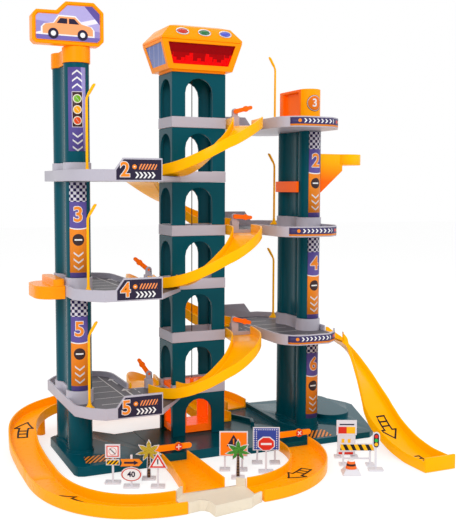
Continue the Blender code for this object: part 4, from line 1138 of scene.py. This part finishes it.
# Street lamps: thin yellow posts on cone feet that stand on the decks beside each column, bent
# over at the tip. Each is drawn out ring by ring from its foot.
LAMP_FOOT = 0.006
LAMP_Y = 0.075
lamp_yellow = moulded("lamp_plastic", (255, 180, 0), 0.3, glow=0.10)
for deck in decks:
    node = f"{deck.side}_lamp_{deck.number}"
    low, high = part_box(node)
    top = high[2] - low[2]
    bm = bmesh.new()
    rim = bmesh.ops.create_circle(bm, segments=24, radius=LAMP_FOOT)["verts"]
    edges = bm.edges[:]
    bm.faces.new(list(reversed(rim)))
    last_x, last_radius, last_z = 0.0, LAMP_FOOT, 0.0
    for x, radius, z in ((0.0, 0.0060, 0.0010), (0.0, 0.0032, 0.0034), (0.0, 0.0021, 0.0060),
                         (0.0, 0.0016, 0.0100), (0.0, 0.0015, top - 0.0200),
                         (0.0004, 0.0015, top - 0.0165), (0.0016, 0.0015, top - 0.0140),
                         (0.0030, 0.0020, top - 0.0115), (0.0088, 0.0021, top - 0.0016),
                         (0.0096, 0.0012, top)):
        risen = bmesh.ops.extrude_edge_only(bm, edges=edges)["geom"]
        verts = [g for g in risen if isinstance(g, bmesh.types.BMVert)]
        edges = [g for g in risen if isinstance(g, bmesh.types.BMEdge)]
        bmesh.ops.translate(bm, vec=(-last_x, 0, 0), verts=verts)
        size = radius / last_radius
        bmesh.ops.scale(bm, vec=(size, size, 1), verts=verts)
        bmesh.ops.translate(bm, vec=(x, 0, z - last_z), verts=verts)
        last_x, last_radius, last_z = x, radius, z
    bmesh.ops.holes_fill(bm, edges=edges)
    bmesh.ops.recalc_face_normals(bm, faces=bm.faces)
    bm.transform(Matrix.Translation((deck.sign * COLUMN_X, deck.sign * LAMP_Y, low[2])) @ deck.turn)
    dressed(node + "_post", bm, lamp_yellow, smooth=60, replaced=(node,))

# Gates: barrier arms on pins, red-orange at the mouths of the decks and orange at the base. The
# base arms carry a printed disc with a white cross.
ARM, BAR = 0.0034, 0.0007
CROSS = [(-BAR, -ARM), (BAR, -ARM), (BAR, -BAR), (ARM, -BAR), (ARM, BAR), (BAR, BAR), (BAR, ARM),
         (-BAR, ARM), (-BAR, BAR), (-ARM, BAR), (-ARM, -BAR), (-BAR, -BAR)]
GATE_THICK = 0.0036
GATE_PRINT = 0.0001
DISC_REACH, DISC_Z, DISC_R = 0.027, 0.0205, 0.0049
gate_red = moulded("gate_plastic", (255, 108, 12), 0.3, level=0.08, glow=0.2)
for deck in decks:
    rounded_copy(f"{deck.side}_deck_gate_{deck.number}", gate_red,
                 body=f"{deck.side}_deck_boom_{deck.number}", edge=0.0004)
gate_orange = moulded("base_gate_plastic", (255, 138, 8), 0.28, glow=0.12)
disc_red = Finish("gate_disc_print").gloss(srgb(222, 62, 30))
for name, x, front, spin in (("left", -0.0805, MIDDLE_FRONT, 0),
                             ("right", 0.086, RIGHT_FRONT, 45)):
    boom = f"{name}_base_boom"
    rounded_copy(f"{name}_base_gate", gate_orange, body=boom)
    face_y = front - GAP - GATE_THICK - UNDER_PRINT
    spun = UPRIGHT @ Matrix.Rotation(math.radians(spin), 4, "Z")
    flat_sheet(f"{name}_base_gate_disc", disc(0, 0, DISC_R), disc_red,
               Matrix.Translation((x + DISC_REACH, face_y, DISC_Z)) @ spun, GATE_PRINT, boom)
    flat_sheet(f"{name}_base_gate_cross", CROSS, print_white,
               Matrix.Translation((x + DISC_REACH, face_y - GATE_PRINT, DISC_Z)) @ spun,
               GATE_PRINT, boom)


# Prints on the base: slanting orange and dark warning stripes near the front edges. They are
# thin stickers on the flat tops of the plates.
def slanting_print(name, pitch, lean, under, over):
    finish = Finish(name)
    x, y, _ = finish.where("UV")
    return finish.gloss(finish.blend(stripes(x, y, pitch, lean), under, over), 0.32)


hazard = slanting_print("hazard_print", 0.62, -0.74, srgb(16, 34, 38), srgb(250, 150, 40))
for name, x0, x1, y0, y1, z in (("left", -0.1690, -0.1310, -0.0825, -0.0570, PLATE_TOP),
                                ("right", 0.1360, 0.1690, -0.0880, -0.0580, SIDE_PLATE_TOP)):
    outline = [(x0, y0), (x1, y0), (x1 + 0.004, y1), (x0 + 0.004, y1)]
    flat_sheet(f"{name}_hazard_print", outline, hazard,
               Matrix.Translation((0, 0, z + UNDER_PRINT)), 0.0001)

# Road signs, palms, barrier, signal and cone: small printed cards on white posts with flat feet.
# They are loose white plastic pieces of the set that stand on the table round the base.
SLAB = 0.0016
POST = 0.0012
FOOT_DEPTH = 0.0055
SIGN_RED = (214, 50, 34)
sign_white = moulded("sign_plastic", (226, 224, 230), 0.35)
red_print = moulded("sign_red", SIGN_RED, 0.32, glow=0.08)
amber_print = moulded("sign_amber", (250, 184, 30), 0.32, glow=0.08)
green_print = moulded("sign_green", (40, 170, 70), 0.32, glow=0.08)
orange_print = moulded("sign_orange_field", (250, 124, 20), 0.32, glow=0.1)


def block(left, low, right, high):
    return [(left, low), (right, low), (right, high), (left, high)]


def wedge(foot, low, head, high):
    """A tapered outline. foot and head are half its widths at its low and high ends."""
    return [(-foot, low), (foot, low), (head, high), (-head, high)]


class Stand:
    """White posts with a flat foot each, and the cards and prints that they carry."""

    def __init__(self, name, x, y, posts, foot=0.018):
        self.name = name
        plan = Matrix.Translation((x, y, 0)) @ Matrix.Rotation(-YAW, 4, "Z")
        self.plane = plan @ UPRIGHT
        for number, (across, height) in enumerate(posts, 1):
            self.card(f"post_{number}", block(across - POST, 0.0020, across + POST, height),
                      0.0013, -0.0014)
            sole = block(across - foot / 2, -FOOT_DEPTH, across + foot / 2, FOOT_DEPTH)
            flat_sheet(f"{name}_foot_{number}", sole, sign_white, plan, 0.0022)

    def add(self, part, outline, finish, depth, thickness):
        flat_sheet(f"{self.name}_{part}", outline, finish,
                   self.plane @ Matrix.Translation((0, 0, depth)), thickness)

    def card(self, part, outline, thickness=SLAB, depth=0.0):
        """A white card; depth is its height above the plane at the posts' front."""
        self.add(part, outline, sign_white, depth, thickness)

    def paste(self, part, outline, finish, layer=1):
        """A thin print, whose first layer lies on a card."""
        self.add(part, outline, finish, SLAB + PRINT * (layer - 1), PRINT)


def ringed(name, centre, wide, high, paint):
    """White card with a ring of the paint."""
    finish = Finish(name)
    x, y, _ = finish.where("UV")
    span = (x / wide) * (x / wide) + ((y - centre) / high) * ((y - centre) / high)
    return finish.gloss(finish.blend(span.between(0.66, 0.86), WHITE, srgb(*paint)), 0.32)


def warning(name, pitch, lean):
    return slanting_print(name, pitch, lean, srgb(40, 34, 34), srgb(250, 190, 20))


sign = Stand("parking_sign", -0.1492, -0.1270, [(0.0, 0.0302)])
sign.card("card", block(-0.0087, 0.0302, 0.0087, 0.0462))
sign.paste("edge", block(-0.0070, 0.0318, 0.0070, 0.0446), red_print)
sign.paste("field", block(-0.0058, 0.0329, 0.0058, 0.0435), print_white, 2)
sign.paste("ring", disc(0, 0.0382, 0.0047),
           ringed("parking_ring_print", 3.82, 0.48, 0.48, SIGN_RED), 3)
sign.paste("bar", [(-0.0036, 0.0412), (-0.0029, 0.0418), (0.0036, 0.0352), (0.0029, 0.0346)],
           dark_print, 4)
sign.card("plate", block(-0.0078, 0.0216, 0.0078, 0.0283))
sign.paste("stripes", block(-0.0070, 0.0224, 0.0070, 0.0275), warning("plate_stripes", 0.46, -0.9))

sign = Stand("number_sign", -0.1337, -0.1482, [(0.0, 0.0375)])
arrow = Stand("arrow_sign", -0.1337, -0.1482, [])
arrow.add("card", [(-0.0122, 0.0246), (0.0088, 0.0250), (0.0128, 0.0290), (0.0088, 0.0330),
                   (-0.0122, 0.0328), (-0.0104, 0.0287)], print_orange, 0, SLAB)
arrow.paste("mark", [(-0.0080, 0.0278), (0.0030, 0.0278), (0.0030, 0.0262), (0.0082, 0.0289),
                     (0.0030, 0.0316), (0.0030, 0.0300), (-0.0080, 0.0300)], dark_print)
NUMBER_Z = 0.0152
oval = resized(disc(0, NUMBER_Z, 0.0094), 1.30, 0.88, NUMBER_Z)
sign.card("card", oval)
sign.paste("ring", resized(oval, 0.96, 0.96, NUMBER_Z),
           ringed("oval_ring_print", 1.52, 1.22, 0.83, (205, 60, 40)))
numeral("number_sign_number", "40", 0.0088, dark_print,
        lambda x, y, z: sign.plane @ Vector((x, y + NUMBER_Z, z + SLAB + PRINT)), 0.03)


def palm(name, x, y, middle, leaf, vein):
    """A palm tree cut from white card, with a printed crown and a ringed trunk."""
    tree = Stand(name, x, y, [(0.0, 0.0080)], 0.016)
    crown = []
    for k in range(28):
        a = math.radians(90 + 360 * k / 28)
        reach = 0.0142 if k % 4 == 0 else 0.0098 if k % 2 else 0.0058
        droop = 0.0020 * abs(math.cos(a))
        crown.append((reach * math.cos(a), middle + reach * 0.82 * math.sin(a) - droop))
    tree.card("card", resized(crown, 1.12, 1.12, middle))
    tree.card("stem_card", wedge(0.0028, 0.0020, 0.0018, middle), SLAB, -0.0002)
    leaves = Finish(name + "_leaf_print")
    x, y, _ = leaves.where("UV")
    streak = ((x * 1.3 + y) / 0.22).part() < 0.4
    fleck = (leaves.noise(500.0) > 0.58) * 0.5
    colour = leaves.layers(srgb(*leaf), (streak * 0.7, srgb(*vein)), (fleck, srgb(*vein)))
    tree.paste("crown", crown, leaves.gloss(colour, 0.35))
    bark = Finish(name + "_bark_print")
    _, y, _ = bark.where("UV")
    rings = bark.blend((y / 0.34).part() < 0.45, srgb(112, 84, 60), srgb(58, 42, 34))
    tree.paste("trunk", wedge(0.0019, 0.0026, 0.0011, middle - 0.004), bark.gloss(rings, 0.4), 1.5)


palm("yellow_palm", -0.1066, -0.1308, 0.0350, (214, 186, 60), (140, 108, 24))
palm("green_palm", -0.0094, -0.1696, 0.0345, (84, 160, 60), (24, 84, 34))

sign = Stand("triangle_sign", -0.1060, -0.1604, [(0.0, 0.0260)], 0.016)
triangle = [(-0.0112, 0.0222), (0.0112, 0.0222), (0.0, 0.0412)]
sign.card("card", triangle)
sign.paste("edge", resized(triangle, 0.84, 0.84, 0.0285), red_print)
sign.paste("field", resized(triangle, 0.56, 0.56, 0.0285), print_white, 2)
sign.paste("mark", wedge(0.0005, 0.0272, 0.0008, 0.0332), dark_print, 3)

sign = Stand("orange_sign", -0.0023, -0.1415, [(-0.0105, 0.0200), (0.0105, 0.0200)], 0.013)
sign.card("card", block(-0.0172, 0.0174, 0.0172, 0.0483))
sign.paste("field", block(-0.0158, 0.0187, 0.0158, 0.0470), orange_print)
sign.paste("triangle", [(-0.0085, 0.0300), (0.0085, 0.0300), (0.0, 0.0445)], dark_print, 2)
sign.paste("mark", wedge(0.0006, 0.0325, 0.0009, 0.0395), print_orange, 3)

blue_print = Finish("blue_sign_print")
x, y, _ = blue_print.where("UV")
dots = squared(((x + 5.0) / 0.28).part(), ((y + 0.05) / 0.28).part(), 0.5, 0.5) < 0.06
edge_band = (abs(x) > 1.15) | (y > 4.16)
blue_colour = blue_print.blend(dots & edge_band, srgb(58, 76, 160), WHITE)
sign = Stand("blue_sign", 0.0458, -0.1338, [(-0.0110, 0.0190), (0.0110, 0.0190)], 0.013)
sign.card("card", block(-0.0166, 0.0166, 0.0166, 0.0457))
sign.paste("field", block(-0.0154, 0.0177, 0.0154, 0.0446),
           blue_print.gloss(blue_colour, 0.32, glow=0.06))

sign = Stand("octagon_sign", 0.0305, -0.1639, [(0.0, 0.0290)])
octagon = resized(corner(0, 0.0351, 0.0112, 22.5, 337.5, 7), 1.0, 0.82, 0.0351)
sign.card("card", octagon)
sign.paste("field", resized(octagon, 0.88, 0.88, 0.0351), red_print)
sign.paste("bar", block(-0.0064, 0.0339, 0.0064, 0.0363), print_white, 2)

sign = Stand("kiosk_board", 0.1499, -0.1535, [(-0.0105, 0.0100), (0.0105, 0.0100)], 0.009)
sign.card("top", block(-0.0128, 0.0292, 0.0128, 0.0481), SLAB + 0.0004)
sign.card("body", block(-0.0114, 0.0030, 0.0114, 0.0292))
for part, shape, finish, layer in (
        ("line", block(-0.0090, 0.0420, 0.0095, 0.0436), dark_print, 3),
        ("red", block(-0.0105, 0.0312, 0.0, 0.0398), red_print, 3),
        ("amber", block(0.0, 0.0312, 0.0108, 0.0398), amber_print, 3),
        ("mark_1", block(-0.0062, 0.0190, -0.0026, 0.0240), amber_print, 1),
        ("mark_2", block(0.0016, 0.0190, 0.0052, 0.0240), amber_print, 1),
        ("foot_band", block(-0.0098, 0.0040, 0.0086, 0.0070), red_print, 1)):
    sign.paste(part, shape, finish, layer)

sign = Stand("barrier", 0.1450, -0.1856, [(-0.0165, 0.0200), (0.0165, 0.0200)], 0.010)
sign.card("beam", block(-0.0214, 0.0182, 0.0214, 0.0274))
sign.card("rail", block(-0.0165, 0.0072, 0.0165, 0.0092), 0.0010, -0.0012)
sign.paste("stripes", block(-0.0206, 0.0191, 0.0206, 0.0265), warning("beam_stripes", 0.92, 0.5))

sign = Stand("signal", 0.1559, -0.2108, [(0.0, 0.0290)])
casing = corner(0, 0.0428, 0.0045, 0, 180, 12) + corner(0, 0.0318, 0.0045, 180, 360, 12)
sign.card("card", casing)
sign.paste("field", resized(casing, 0.72, 0.87, 0.0373), dark_print)
for part, height, finish in (("red", 0.0421, red_print), ("green", 0.0372, green_print),
                             ("amber", 0.0323, amber_print)):
    sign.paste(part, corner(0, height, 0.0022, 0, 345, 23), finish, 2)

cone_print = Finish("cone_print")
_, _, z = cone_print.where()
cone_colour = cone_print.layers(
    srgb(240, 110, 44), (z.between(0.0098, 0.0122), srgb(58, 38, 34)), (z > 0.0152, WHITE))
for name, segments, first, second, low, high, finish in (
        ("cone_foot", 4, 0.0160, 0.0100, 0.0, 0.0062, sign_white),
        ("cone", 32, 0.0068, 0.0038, 0.0062, 0.0166,
         cone_print.gloss(cone_colour, 0.35, glow=0.08))):
    bm = bmesh.new()
    bmesh.ops.create_cone(bm, cap_ends=True, segments=segments, radius1=first, radius2=second,
                          depth=high - low,
                          matrix=Matrix.Translation((0.1226, -0.2081, (low + high) / 2))
                          @ Matrix.Rotation(math.radians(45) - YAW, 4, "Z"))
    edged(dressed("road_" + name, bm, finish, smooth=38), 0.0004)
